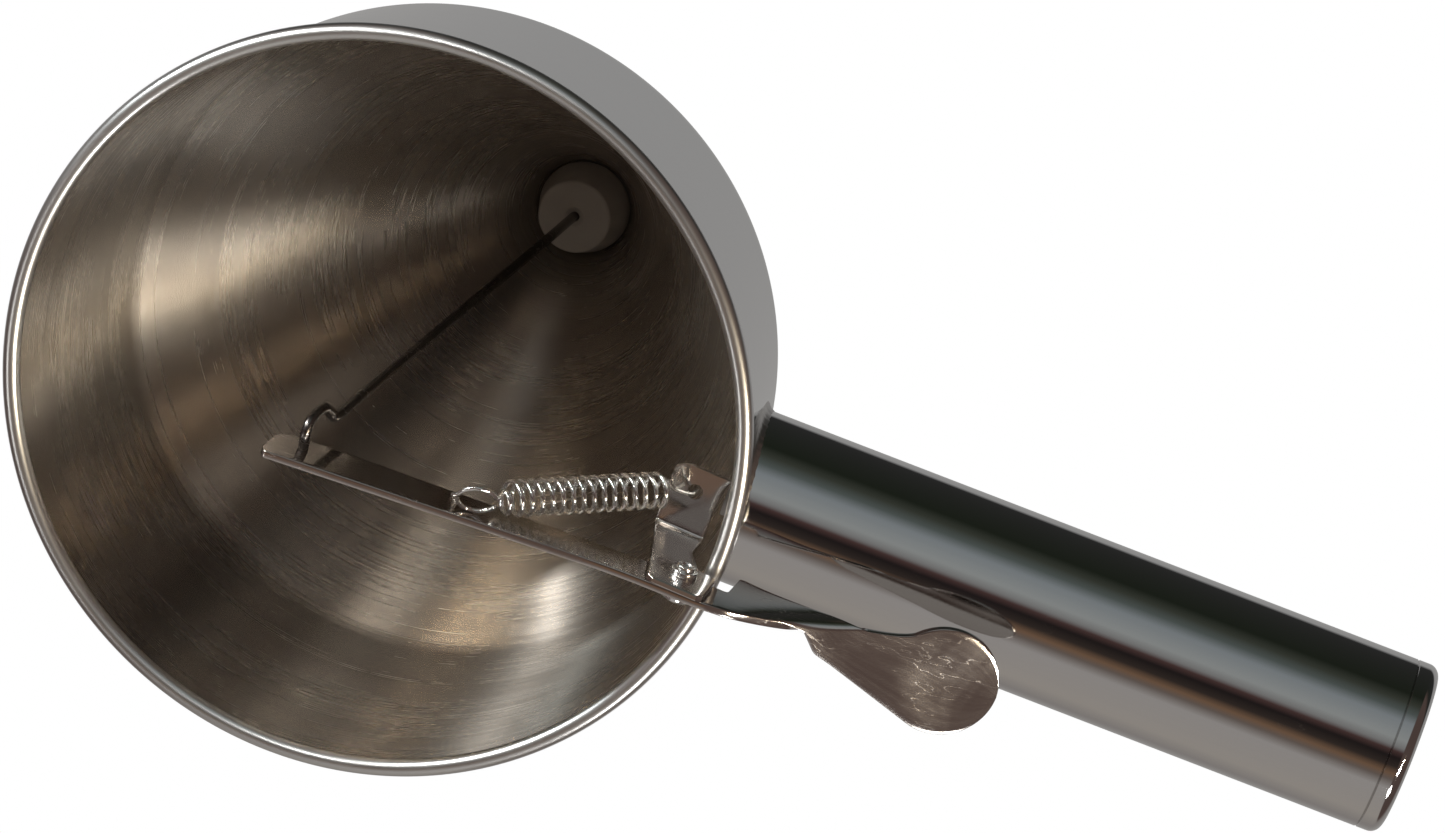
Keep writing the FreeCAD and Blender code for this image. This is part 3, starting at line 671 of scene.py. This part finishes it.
class FUNNEL_OT_grip(bpy.types.Operator):
    """Tube handle, its end cap and the weld at its root"""
    bl_idname = "funnel.grip"
    bl_label = "Grip"

    def execute(self, context):
        bowl = context.scene.funnel_bowl
        grip = context.scene.funnel_grip
        finish = context.scene.funnel_finishes
        mirror = steel("Mirror grip", finish.grip, 0.045, 0.02, lines=1500.0, stretch=300.0,
                       relief=0.003, smudge=0.03, scratch=0.12, tone=0.03)
        weld = steel("Weld bead", finish.weld, 0.3, 0.15, lines=900.0, stretch=4.0, relief=0.3)
        start, axis, side, up = grip_axes(grip, bowl)
        a = np.linspace(0, 2 * np.pi, TUBE_SIDES, endpoint=False)
        around = np.cos(a)[:, None] * side + np.sin(a)[:, None] * up
        stop = bowl.rim_radius + grip.reach

        def ring(radius, s):
            return start + radius * around + np.broadcast_to(s, a.shape)[:, None] * axis

        inside = grip.radius - grip.wall
        root_out = meets_wall(grip, bowl, grip.radius, a, bowl.wall)
        root_in = meets_wall(grip, bowl, inside, a, bowl.wall)
        lip = 0.25 * MM
        t = np.linspace(0, 1, 14)[:, None]
        outer = [ring(grip.radius, root_out + (stop - lip - root_out) * s) for s in t]
        inner = [ring(inside, stop + (root_in - stop) * s) for s in t]
        rows = outer + [ring(grip.radius - lip, stop)] + inner
        tube = make_piece("grip_tube", [patch(np.array(rows), True)], [mirror])
        seat(tube, "funnel", "handle_steel", "handle_tube")

        r = grip.radius
        groove = 0.2 * MM
        skirt = r - grip.wall - 0.02 * MM
        dome = 0.5 * MM
        q = np.linspace(0, 1, 12)
        face = np.stack([(r - grip.cap_round) * q, grip.cap - dome * q ** 2], 1)
        rim = rounded([face[-1], (r, grip.cap - dome - 0.2 * MM), (r, groove)],
                      [0.75 * grip.cap_round], 14)
        back = [(r - groove, 0), (skirt, 0), (skirt, -6 * MM), (skirt - 1.4 * MM, -6 * MM),
                (skirt - 1.4 * MM, grip.cap - 2 * MM), (0, grip.cap - 2 * MM)]
        line = np.concatenate([face, rim[1:], back])
        end = start + stop * axis
        cap = make_piece("grip_cap", [patch(turned(line, TUBE_SIDES, end, (side, up, axis)),
                                            grain_in_rows=True)], [mirror])
        seat(cap, "funnel", "handle_steel", "handle_end_cap")

        ripple = 1 + 0.06 * np.sin(46 * a)
        leg = grip.weld * ripple
        corner = ring(grip.radius, root_out)
        on_tube = ring(grip.radius, root_out + leg)
        reach = grip.radius + grip.weld
        on_wall = start + reach * around + meets_wall(grip, bowl, reach, a, bowl.wall)[:, None] * axis
        q = np.linspace(0, 1, 7)[:, None, None]
        hollow = 0.22 * np.sin(np.pi * q)
        bead = (on_tube * (1 - q) + on_wall * q) * (1 - hollow) + corner * hollow
        rows = np.concatenate([bead, corner[None]])
        ring_weld = make_piece("grip_weld", [patch(rows, True)], [weld], 60.0)
        seat(ring_weld, "funnel", "weld_steel", "handle_weld")
        return {"FINISHED"}


class FUNNEL_OT_bracket(bpy.types.Operator):
    """Folded bracket with its spring shelf, its upright ear and its flange"""
    bl_idname = "funnel.bracket"
    bl_label = "Bracket"

    def execute(self, context):
        lever = context.scene.funnel_lever
        bowl = context.scene.funnel_bowl
        finish = context.scene.funnel_finishes
        sheet = steel("Bracket sheet", finish.sheet, 0.10, 0.05, lines=1800.0, stretch=40.0,
                      relief=0.02, scratch=0.2, tone=0.08)
        thick = lever.bracket
        ear_y = PIVOT[1] + lever.sheet / 2 + SIDE_GAP + thick / 2
        shelf_z = PIVOT[2] - SHELF_DROP - thick / 2
        top = PIVOT[2] + 7.4 * MM
        inner_x = PIVOT[0] - 11.3 * MM
        wall_x = inner_x + 9.8 * MM
        far = 9.0 * MM
        fold = 1.4 * MM
        rim = bowl.rim_height

        path = rounded([(far, shelf_z), (ear_y, shelf_z), (ear_y, top)], [fold], 10)
        gap = np.linspace(0, 1, 15)[1:-1, None]
        flat = path[0] + (path[1] - path[0]) * gap
        rise = path[-2] + (path[-1] - path[-2]) * np.linspace(0, 1, 50)[1:-1, None]
        path = np.concatenate([path[:1], flat, path[1:-1], rise, path[-1:]])
        y, z = path.T
        travelled = np.concatenate([[0], np.cumsum(np.linalg.norm(np.diff(path, axis=0), axis=1))])
        total = travelled[-1]
        height = z - shelf_z
        lean = np.interp(z, [shelf_z, top], [0, 1])
        inner = inner_x + 6.0 * MM * lean
        over = rim + OVER_RIM
        outer_line = rounded([(shelf_z, wall_x), (rim - 6.0 * MM, wall_x + 0.1 * MM),
                              (over - 0.4 * MM, PIVOT[0] + 2.0 * MM), (over, PIVOT[0] + 5.2 * MM),
                              (over + 1.2 * MM, PIVOT[0] + 5.7 * MM), (top, PIVOT[0] + 5.7 * MM)],
                             [3.0 * MM, 1.5 * MM, 0.4 * MM, 0.5 * MM], 8)
        outer = np.interp(z, outer_line[:, 0], outer_line[:, 1])
        horn = np.clip((y - far + 3 * MM) / (3 * MM), 0, 1)
        outer = outer + np.where(height < fold, 1.4 * MM * horn ** 1.5, 0)
        corner = 2.0 * MM
        from_far = np.clip(1 - travelled / corner, 0, 1)
        inner = inner + corner * (1 - np.sqrt(1 - from_far ** 2))
        from_top = np.clip(1 - (total - travelled) / (0.8 * MM), 0, 1)
        inner = inner + 0.8 * MM * (1 - np.sqrt(1 - from_top ** 2))
        outer = outer - 0.8 * MM * (1 - np.sqrt(1 - from_top ** 2))
        left = np.stack([inner, y, z], 1)
        right = np.stack([outer, y, z], 1)
        fold_grid = ribbon(left, right, thick, lever.edge)

        down = rounded([(wall_x - 2.5 * MM, shelf_z), (wall_x - thick / 2, shelf_z),
                        (wall_x - thick / 2, shelf_z - 20 * MM)], [1.2 * MM], 8)
        half = 5.5 * MM * np.sqrt(1 - np.clip(1 - (down[:, 1] - down[-1, 1]) / (2 * MM), 0, 0.9) ** 2)
        mid_y = 2.5 * MM
        flange = ribbon(np.stack([down[:, 0], mid_y - half, down[:, 1]], 1),
                        np.stack([down[:, 0], mid_y + half, down[:, 1]], 1), thick, lever.edge)
        piece = make_piece("folded_bracket", [patch(fold_grid), patch(flange)], [sheet], 30.0)
        _, anchor = spring_ends()
        pierce(piece, [(anchor - 3 * MM * Z, anchor + 3 * MM * Z, 1.5 * MM),
                       (PIVOT, PIVOT + 6 * MM * Y, lever.pin)], 30.0)
        seat(piece, "funnel", "lever_steel", "pivot_bracket")
        return {"FINISHED"}


class FUNNEL_OT_rivet(bpy.types.Operator):
    """Stepped rivet through ear and lever, with its washer"""
    bl_idname = "funnel.rivet"
    bl_label = "Rivet"

    def execute(self, context):
        lever = context.scene.funnel_lever
        finish = context.scene.funnel_finishes
        bright = steel("Rivet steel", finish.spring, 0.16, 0.08, lines=1500.0, stretch=6.0)
        r = lever.pin
        ear = lever.sheet / 2 + SIDE_GAP + lever.bracket
        tail = -lever.sheet / 2 - 0.8 * MM
        outline = [(0, ear + 1.6 * MM), (0.9 * MM, ear + 1.6 * MM), (1.1 * MM, ear + 2.0 * MM),
                   (r + 0.3 * MM, ear + 2.0 * MM), (r + 0.3 * MM, ear + 1.2 * MM),
                   (r + 1.1 * MM, ear + 1.2 * MM), (r + 1.1 * MM, ear), (r, ear), (r, tail),
                   (r + 1.3 * MM, tail), (r + 1.1 * MM, tail - 1.3 * MM), (0, tail - 1.3 * MM)]
        radii = [0.1 * MM, 0.1 * MM, 0.25 * MM, 0.15 * MM, 0.4 * MM, 0.05 * MM, 0.05 * MM,
                 0.05 * MM, 0.1 * MM, 0.6 * MM]
        axes = (Z, X, Y)
        line = rounded(outline, radii, 5)
        piece = make_piece("pivot_pin", [patch(turned(line, PIN_SIDES, PIVOT, axes),
                                              grain_in_rows=True)], [bright])
        seat(piece, "funnel", "lever_steel", "pivot_rivet")
        back = -lever.sheet / 2 - SIDE_GAP
        loop = rounded_loop([(r + 0.05 * MM, back - 0.5 * MM), (r + 1.9 * MM, back - 0.5 * MM),
                             (r + 1.9 * MM, back), (r + 0.05 * MM, back)], [0.12 * MM] * 4)
        ring = make_piece("pin_washer", [patch(turned(loop, PIN_SIDES, PIVOT, axes), True,
                                               grain_in_rows=True)], [bright])
        seat(ring, "funnel", "lever_steel", "pivot_washer")
        return {"FINISHED"}


def lever_edges(lever, bowl):
    """Top and bottom edge of the whole lever, tip to pad: upright web, twisted neck, sloping pad.
    Past the neck the top edge becomes the pad's near side and the bottom edge its far side."""
    px, py, pz = PIVOT
    tip_x = LEVER_BOX[0].x
    tip_z = LEVER_BOX[1].z
    neck_x = bowl.rim_radius + 3.5 * MM
    neck_top = pz + 4.8 * MM
    neck_low = pz - 14.1 * MM
    over = bowl.rim_height + OVER_RIM
    lobe = bowl.rim_radius + 2.4 * MM
    e = 0.15 * MM
    low = rounded([(tip_x, tip_z - 4.0 * MM), (tip_x + e, tip_z - 13.6 * MM),
                   (px - 4.5 * MM, over + 1.0 * MM), (px + 0.5 * MM, over), (lobe, over),
                   (lobe + e, neck_low + 0.3 * MM), (neck_x, neck_low)],
                  [5.0 * MM, 4.0 * MM, 4.0 * MM, 0.9 * MM, 0.6 * MM], 10)
    high = rounded([(tip_x, tip_z - 1.6 * MM), (tip_x + 0.8 * MM, tip_z),
                    (px - 11.5 * MM, neck_top + 2.3 * MM),
                    (neck_x - 4.0 * MM, neck_top + 1.1 * MM), (neck_x, neck_top)],
                   [0.7 * MM, 80 * MM, 20 * MM], 8)
    x = np.unique(np.concatenate([low[:, 0], high[:, 0], np.linspace(tip_x, neck_x, 90)]))
    flat = np.full(len(x), py)
    top = np.stack([x, flat, np.interp(x, high[:, 0], high[:, 1])], 1)
    bottom = np.stack([x, flat, np.interp(x, low[:, 0], low[:, 1])], 1)

    centre = PAD_CENTRE
    r = lever.pad_radius
    foot = np.array([5.6, -5.6]) * MM
    gap = centre - foot
    aim = math.atan2(gap[1], gap[0]) - math.asin(r / np.hypot(*gap))
    touch = math.sqrt(gap @ gap - r * r)
    tangent = foot + touch * np.array([math.cos(aim), math.sin(aim)])
    leave = math.atan2(*(tangent - centre)[::-1])
    a = np.linspace(leave, 0, 26)[:, None]
    near = rounded([(-1.2 * MM, -1.0 * MM), (1.9 * MM, -4.4 * MM), foot, tangent],
                   [2.5 * MM, 3.0 * MM], 8)
    near = np.concatenate([near, centre + r * np.concatenate([np.cos(a), np.sin(a)], 1)[1:]])
    side = 3.0 * MM
    join = math.pi - math.asin((side - centre[1] + 2.4 * MM) / r)
    b = np.linspace(join, 0, 26)[:, None]
    arc = centre + r * np.concatenate([np.cos(b), np.sin(b)], 1)
    slope_in = np.array([math.cos(join - np.pi / 2), math.sin(join - np.pi / 2)])
    t = np.linspace(0, 1, 20)
    start = np.array([9.8 * MM, side])
    run = np.linalg.norm(arc[0] - start)
    far = hermite(start, np.array([run, 0.1 * run]), arc[0], slope_in * 0.6 * run, t)
    far = np.concatenate([far, arc[1:]])

    def spread(line, count):
        s = np.concatenate([[0], np.cumsum(np.linalg.norm(np.diff(line, axis=0), axis=1))])
        at = (1 - np.cos(np.linspace(0, np.pi, count))) / 2
        at = 0.5 * at + 0.5 * np.linspace(0, 1, count)
        return np.stack([np.interp(at * s[-1], s, line[:, k]) for k in range(2)], 1)

    near = spread(near, 70)
    far = spread(far, 70)
    near = on_pad(lever, near[:, 0], near[:, 1])
    far = on_pad(lever, far[:, 0], far[:, 1])

    t = np.linspace(0, 1, 26)[1:-1]
    slope = unit(on_pad(lever, 1.0, 0.0) - on_pad(lever, 0.0, 0.0))
    span_a = np.linalg.norm(near[0] - top[-1])
    span_b = np.linalg.norm(far[0] - bottom[-1])
    neck_a = hermite(top[-1], unit([1, 0, -0.3]) * span_a, near[0], slope * 0.7 * span_a, t)
    neck_b = hermite(bottom[-1], unit([1, 0, 0.15]) * span_b, far[0], slope * 0.7 * span_b, t)
    return (np.concatenate([top, neck_a, near]), np.concatenate([bottom, neck_b, far]))


class FUNNEL_OT_lever(bpy.types.Operator):
    """Lever: one strip of sheet with an upright web, a twisted neck and a dished thumb pad"""
    bl_idname = "funnel.lever"
    bl_label = "Lever"

    def execute(self, context):
        lever = context.scene.funnel_lever
        bowl = context.scene.funnel_bowl
        valve = context.scene.funnel_valve
        finish = context.scene.funnel_finishes
        sheet = steel("Lever sheet", finish.sheet, 0.09, 0.05, lines=1800.0, stretch=50.0,
                      relief=0.015, smudge=0.08, scratch=0.25, tone=0.08)
        top, bottom = lever_edges(lever, bowl)
        middle = on_pad(lever, *PAD_CENTRE)
        up = np.array([math.sin(lever.pad_slope), 0, math.cos(lever.pad_slope)])

        def dish(points):
            """Sinks the pad by depth * (1 - (distance / radius) ** 2) ** 2."""
            d = np.linalg.norm(points - middle, axis=-1) / (0.9 * lever.pad_radius)
            return -(lever.pad_dish * np.clip(1 - d * d, 0, 1) ** 2)[..., None] * up

        grid = ribbon(top, bottom, lever.sheet, lever.edge, 22, dish)
        piece = make_piece("thumb_lever", [patch(grid)], [sheet], 40.0)
        hole, _ = spring_ends()
        bars = [(PIVOT, lever.pin + 0.06 * MM), (ROD_HOLE, valve.wire + 0.08 * MM), (hole, 1.3 * MM)]
        pierce(piece, [(p - 2 * MM * Y, p + 2 * MM * Y, radius) for p, radius in bars], 40.0)
        seat(piece, "lever", "lever_steel", "lever")
        return {"FINISHED"}


class FUNNEL_OT_spring(bpy.types.Operator):
    """Return spring: ring eye, close coil and hook"""
    bl_idname = "funnel.spring"
    bl_label = "Spring"

    def execute(self, context):
        valve = context.scene.funnel_valve
        finish = context.scene.funnel_finishes
        bright = steel("Spring wire", finish.spring, 0.14, 0.06, lines=1500.0, stretch=30.0,
                       relief=0.02, tone=0.05)
        hole, anchor = spring_ends()
        start = hole + np.array([7.9, 4.45, -1.0]) * MM
        stop = anchor + np.array([-4.5, 0, 5.0]) * MM
        run = stop - start
        axis = unit(run)
        side = unit(Y - axis * axis[1])
        up = np.cross(axis, side)
        t = np.linspace(0, 1, 40 * valve.turns)[:, None]
        a = 2 * np.pi * valve.turns * t
        swell = np.minimum(1, 0.55 + 12 * np.minimum(t, 1 - t))
        coil = start + run * t + valve.coil * swell * (np.cos(a) * side + np.sin(a) * up)

        centre = hole + np.array([4.3, 4.25, 3.9]) * MM
        outward = unit([1, 0.1, -0.35])
        across = np.array([0, 0.8, 0.6])
        across = unit(across - outward * (across @ outward))
        b = np.linspace(math.radians(340), math.radians(25), 60)[:, None]
        eye = centre + valve.eye * (np.cos(b) * outward + np.sin(b) * across)
        inner = centre - outward * valve.eye
        drop = smooth_path([hole - 1.6 * MM * Y, hole + 0.9 * MM * Y,
                            inner - 0.8 * MM * outward, inner], 10)
        hook = smooth_path([coil[-1], stop + axis * 1.6 * MM,
                            anchor + np.array([-0.6, -0.2, 1.6]) * MM,
                            anchor + 0.3 * MM * Z, anchor - 2.2 * MM * Z], 10)
        link = smooth_path([eye[-3], eye[-1], coil[0], coil[3]], 8)[8:17]
        body = np.concatenate([eye[:-1], link[:-1], coil[:-1], hook])
        strands = [patch(wire(line, valve.spring_wire, 14)) for line in (body, drop)]
        piece = make_piece("pull_spring", strands, [bright])
        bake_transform(piece)
        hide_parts("return_spring")
        return {"FINISHED"}


class FUNNEL_OT_valve(bpy.types.Operator):
    """Valve wire with its crook, the stopper and the nut under it"""
    bl_idname = "funnel.valve"
    bl_label = "Valve"

    def execute(self, context):
        valve = context.scene.funnel_valve
        finish = context.scene.funnel_finishes
        drawn = steel("Drawn wire", finish.wire, 0.22, 0.10, lines=1500.0, relief=0.03)
        hx, hy, hz = ROD_HOLE
        straight = np.linspace([0, 0, ROD_BOX[0].z + 0.4 * MM], [0, 0, PLUG_BOX[1].z + MM], 4)
        up = np.linspace(straight[-1], [hx + 2.1 * MM, 0, hz - 10 * MM], 10)[1:]
        bend = np.array([hx, hy, hz]) + np.array([
            [1.3, 7.3, -7.0], [0.4, 8.8, -3.4], [-0.2, 7.6, 1.0], [-0.1, 4.9, 2.2], [0, 2.6, 0.9],
            [0, 1.2, 0.0], [0, -0.2, 0.0], [0, -2.3, 0.0]]) * MM
        crook = smooth_path(np.concatenate([up[-3:], bend]), 12)
        path = np.concatenate([straight[:-1], up[:-3], crook])
        rod = make_piece("valve_wire", [patch(wire(path, valve.wire, 20))], [drawn])
        seat(rod, "rod", "rod_wire", "valve_rod")

        bore = valve.wire + 0.05 * MM
        top = PLUG_BOX[1].z
        foot = PLUG_BOX[0].z
        widest = PLUG_BOX[1].x
        outlet = SPOUT_BOX[1].z
        outline = [(bore, top - 0.3 * MM), (2.0 * MM, top), (widest - 1.9 * MM, top),
                   (widest, outlet + 4.3 * MM), (widest, outlet + 3.5 * MM),
                   (widest - 2.2 * MM, outlet - 0.9 * MM), (widest - 2.2 * MM, foot), (bore, foot)]
        loop = rounded_loop(outline, [0.1 * MM, 0.3 * MM, 0.6 * MM, 0.4 * MM, 0.3 * MM, 0.5 * MM,
                                      0.5 * MM, 0.05 * MM])
        plug = make_piece("drop_stopper", [patch(turned(loop, PIPE_SIDES), True)],
                          [moulded("Moulded stopper", finish.stopper)])
        seat(plug, "rod", "stopper_rubber", "stopper_plug")

        a = np.linspace(0, 2 * np.pi, NUT_SIDES, endpoint=False)
        corner = NUT_BOX[1].x
        flat = corner * math.cos(math.pi / 6)
        hexagon = flat / np.cos((a + np.pi / 6) % (np.pi / 3) - np.pi / 6)
        low, high = NUT_BOX[0].z, NUT_BOX[1].z
        nut_bore = valve.wire + 0.03 * MM
        line = np.array([(nut_bore, low), (flat - 0.1 * MM, low), (corner, low + 0.35 * MM),
                         (corner, high - 0.35 * MM), (flat - 0.1 * MM, high), (nut_bore, high)])
        radius = np.minimum(line[:, :1], hexagon)
        rows = np.stack([radius * np.cos(a), radius * np.sin(a), line[:, 1:] + 0 * a], -1)
        nut = make_piece("stopper_nut", [patch(rows, True, grain_in_rows=True)], [drawn], 25.0)
        seat(nut, "rod", "lever_steel", "rod_nut")
        return {"FINISHED"}


class FUNNEL_OT_welds(bpy.types.Operator):
    """Weld metal on the CAD node between bracket and bowl"""
    bl_idname = "funnel.welds"
    bl_label = "Welds"

    def execute(self, context):
        finish = context.scene.funnel_finishes
        spot = frame["nodes"]["bracket_weld"]
        spot.data.materials.clear()
        spot.data.materials.append(steel("Spot weld", finish.weld, 0.35, 0.15, lines=900.0,
                                         stretch=4.0, relief=0.3))
        return {"FINISHED"}


# ---- stage ---------------------------------------------------------------
ROOM = [
    (-180, (0.40, 0.37, 0.34)),
    (-150, (0.29, 0.27, 0.26)),
    (-120, (0.35, 0.34, 0.33)),
    (-74, (0.36, 0.36, 0.36)),
    (-66, (0.03, 0.03, 0.03)),
    (-4, (0.016, 0.020, 0.014)),
    (10, (0.05, 0.056, 0.045)),
    (23, (0.10, 0.12, 0.115)),
    (36, (0.26, 0.29, 0.31)),
    (60, (0.34, 0.36, 0.36)),
    (70, (0.24, 0.24, 0.24)),
    (76, (0.08, 0.045, 0.042)),
    (84, (0.018, 0.014, 0.014)),
    (96, (0.04, 0.03, 0.026)),
    (106, (0.20, 0.12, 0.075)),
    (114, (0.16, 0.13, 0.115)),
    (128, (0.38, 0.36, 0.35)),
    (180, (0.40, 0.37, 0.34)),
]

WINGS = (0.10, 0.07, 0.062)
WING_EDGE = (0.24, 0.36)
WING_FOOT = (-0.5, -0.2)
LAMP_DISTANCE = 1.2
GOLD = (1.0, 0.82, 0.55)
WHITE = (1.0, 1.0, 0.97)
COOL = (0.86, 0.97, 1.0)
LAMPS = [
    ("gold_strip", (4, 30), (-20, 47), 0.015, 6.0, GOLD),
    ("gold_soft", (-8, 33), (-20, 44), 0.05, 4.0, WHITE),
    ("low_key", (150, 30), (150, 30), 0.04, 9.0, WHITE),
    ("low_edge", (160, 20), (160, 20), 0.06, 3.4, COOL),
    ("low_soft", (148, 34), (148, 34), 0.35, 2.0, COOL),
    ("fan_key", (118, 58), (130, 50), 0.04, 1.8, WHITE),
    ("back_soft", (-48, 35), (-48, 35), 0.30, 3.6, WHITE),
    ("back_low", (-140, 40), (-140, 50), 0.30, 0.8, WHITE),
]


def room_world(world):
    """The room as the steel sees it: a band of colours round the X axis, by the angle of the
    direction above +Y. The camera itself sees plain white."""
    world.use_nodes = True
    tree = world.node_tree
    tree.nodes.clear()
    where = add(tree, "ShaderNodeTexCoord")
    part = add(tree, "ShaderNodeSeparateXYZ", in_0=where.outputs["Generated"])
    angle = add(tree, "ShaderNodeMath", operation="ARCTAN2",
                in_0=part.outputs["Z"], in_1=part.outputs["Y"])
    scale = add(tree, "ShaderNodeMath", operation="MULTIPLY_ADD",
                in_0=angle.outputs[0], in_1=0.5 / math.pi, in_2=0.5)
    ramp = add(tree, "ShaderNodeValToRGB", in_Fac=scale.outputs[0])
    stops = ramp.color_ramp.elements
    while len(stops) < len(ROOM):
        stops.new(0.5)
    for stop, (degrees, tint) in zip(stops, ROOM):
        stop.position = degrees / 360 + 0.5
        stop.color = (*tint, 1)
    aside = add(tree, "ShaderNodeMath", operation="ABSOLUTE", in_0=part.outputs["X"])
    fade = add(tree, "ShaderNodeMapRange", interpolation_type="SMOOTHSTEP",
               in_Value=aside.outputs[0], in_1=WING_EDGE[0], in_2=WING_EDGE[1])
    low = add(tree, "ShaderNodeMapRange", interpolation_type="SMOOTHSTEP",
              in_Value=part.outputs["Z"], in_1=WING_FOOT[0], in_2=WING_FOOT[1])
    both = add(tree, "ShaderNodeMath", operation="MULTIPLY",
               in_0=fade.outputs[0], in_1=low.outputs[0])
    wings = add(tree, "ShaderNodeMix", data_type="RGBA", in_Factor=both.outputs[0],
                in_A=ramp.outputs["Color"], in_B=(*WINGS, 1))
    room = add(tree, "ShaderNodeBackground", in_Color=wings.outputs["Result"])
    plain = add(tree, "ShaderNodeBackground", in_Color=(1, 1, 1, 1))
    seen_by_camera(tree, plain, room, "ShaderNodeOutputWorld")


def panel_light(name, target, start, stop, width, power, tint):
    """A lamp on the line between two directions, each an azimuth and an elevation in degrees as
    the target sees them. It is as long as the line, or square where the two are the same."""
    a, e = np.radians([start, stop]).T
    ends = LAMP_DISTANCE * np.stack([np.cos(a) * np.cos(e), np.sin(a) * np.cos(e), np.sin(e)], 1)
    span = ends[1] - ends[0]
    back = unit(ends.mean(axis=0))
    if np.linalg.norm(span) < width:
        span = width * unit(np.cross(back, Z))
    side = unit(span - back * (span @ back))
    lamp = bpy.data.lights.new(name, "AREA")
    lamp.shape = "RECTANGLE"
    lamp.size = np.linalg.norm(span)
    lamp.size_y = width
    lamp.energy = power
    lamp.color = tint
    made = bpy.data.objects.new(name, lamp)
    bpy.context.scene.collection.objects.link(made)
    made.location = np.asarray(target) + ends.mean(axis=0)
    facing = np.stack([side, np.cross(back, side), back], 1)
    made.rotation_euler = Matrix(facing.tolist()).to_euler()


class FUNNEL_OT_stage(bpy.types.Operator):
    """Pale floor, soft lights, the room's reflections and the camera"""
    bl_idname = "funnel.stage"
    bl_label = "Stage"

    def execute(self, context):
        scene = context.scene
        stage = scene.funnel_stage
        bowl = scene.funnel_bowl
        a = np.linspace(0, 2 * np.pi, FLOOR_SIDES, endpoint=False)
        rim = np.stack([stage.floor_size * np.cos(a), stage.floor_size * np.sin(a),
                        np.full(FLOOR_SIDES, stage.floor)], 1)
        mesh = bpy.data.meshes.new("floor")
        mesh.from_pydata(rim.tolist(), [], [list(range(FLOOR_SIDES))])
        floor = bpy.data.objects.new("floor", mesh)
        scene.collection.objects.link(floor)
        material = bpy.data.materials.new("Pale floor")
        material.use_nodes = True
        tree = material.node_tree
        tree.nodes.clear()
        clear = add(tree, "ShaderNodeBsdfTransparent")
        white = add(tree, "ShaderNodeEmission", in_Color=(1, 1, 1, 1))
        seen_by_camera(tree, white, clear, "ShaderNodeOutputMaterial")
        mesh.materials.append(material)

        mouth = (0, 0, bowl.rim_height)
        for name, start, stop, width, power, tint in LAMPS:
            panel_light(name, mouth, start, stop, width, power, tint)

        world = bpy.data.worlds.new("Room")
        scene.world = world
        room_world(world)
        scene.view_settings.view_transform = "Standard"

        camera = bpy.data.cameras.new("camera")
        camera.lens = stage.lens
        camera.sensor_width = 36
        camera.clip_end = 20
        made = bpy.data.objects.new("camera", camera)
        scene.collection.objects.link(made)
        made.location = stage.eye
        made.rotation_euler = stage.aim
        scene.camera = made
        return {"FINISHED"}


PARTS = ("bowl", "grip", "bracket", "rivet", "lever", "spring", "valve", "welds", "stage")
GROUPS = {"funnel_bowl": FunnelBowlSizes, "funnel_grip": FunnelGripSizes,
          "funnel_lever": FunnelLeverSizes, "funnel_valve": FunnelValveSizes,
          "funnel_finishes": FunnelFinishes, "funnel_stage": FunnelStageSettings}


class FUNNEL_PT_panel(bpy.types.Panel):
    """Lists the pieces and their sizes"""
    bl_idname = "FUNNEL_PT_panel"
    bl_label = "Dispensing Funnel"
    bl_space_type = "VIEW_3D"
    bl_region_type = "UI"
    bl_category = "Funnel"

    def draw(self, context):
        for part in PARTS:
            self.layout.operator("funnel." + part)
        for name, group_class in GROUPS.items():
            box = self.layout.box()
            for field in group_class.__annotations__:
                box.prop(getattr(context.scene, name), field)


CLASSES = (*GROUPS.values(), FUNNEL_OT_bowl, FUNNEL_OT_grip, FUNNEL_OT_bracket, FUNNEL_OT_rivet,
           FUNNEL_OT_lever, FUNNEL_OT_spring, FUNNEL_OT_valve, FUNNEL_OT_welds, FUNNEL_OT_stage,
           FUNNEL_PT_panel)


def register():
    for made in CLASSES:
        bpy.utils.register_class(made)
    for name, made in GROUPS.items():
        setattr(bpy.types.Scene, name, bpy.props.PointerProperty(type=made))


def unregister():
    for name in GROUPS:
        delattr(bpy.types.Scene, name)
    for made in reversed(CLASSES):
        bpy.utils.unregister_class(made)


def main():
    register()
    for part in PARTS:
        getattr(bpy.ops.funnel, part)()


if __name__ == "__main__":
    main()
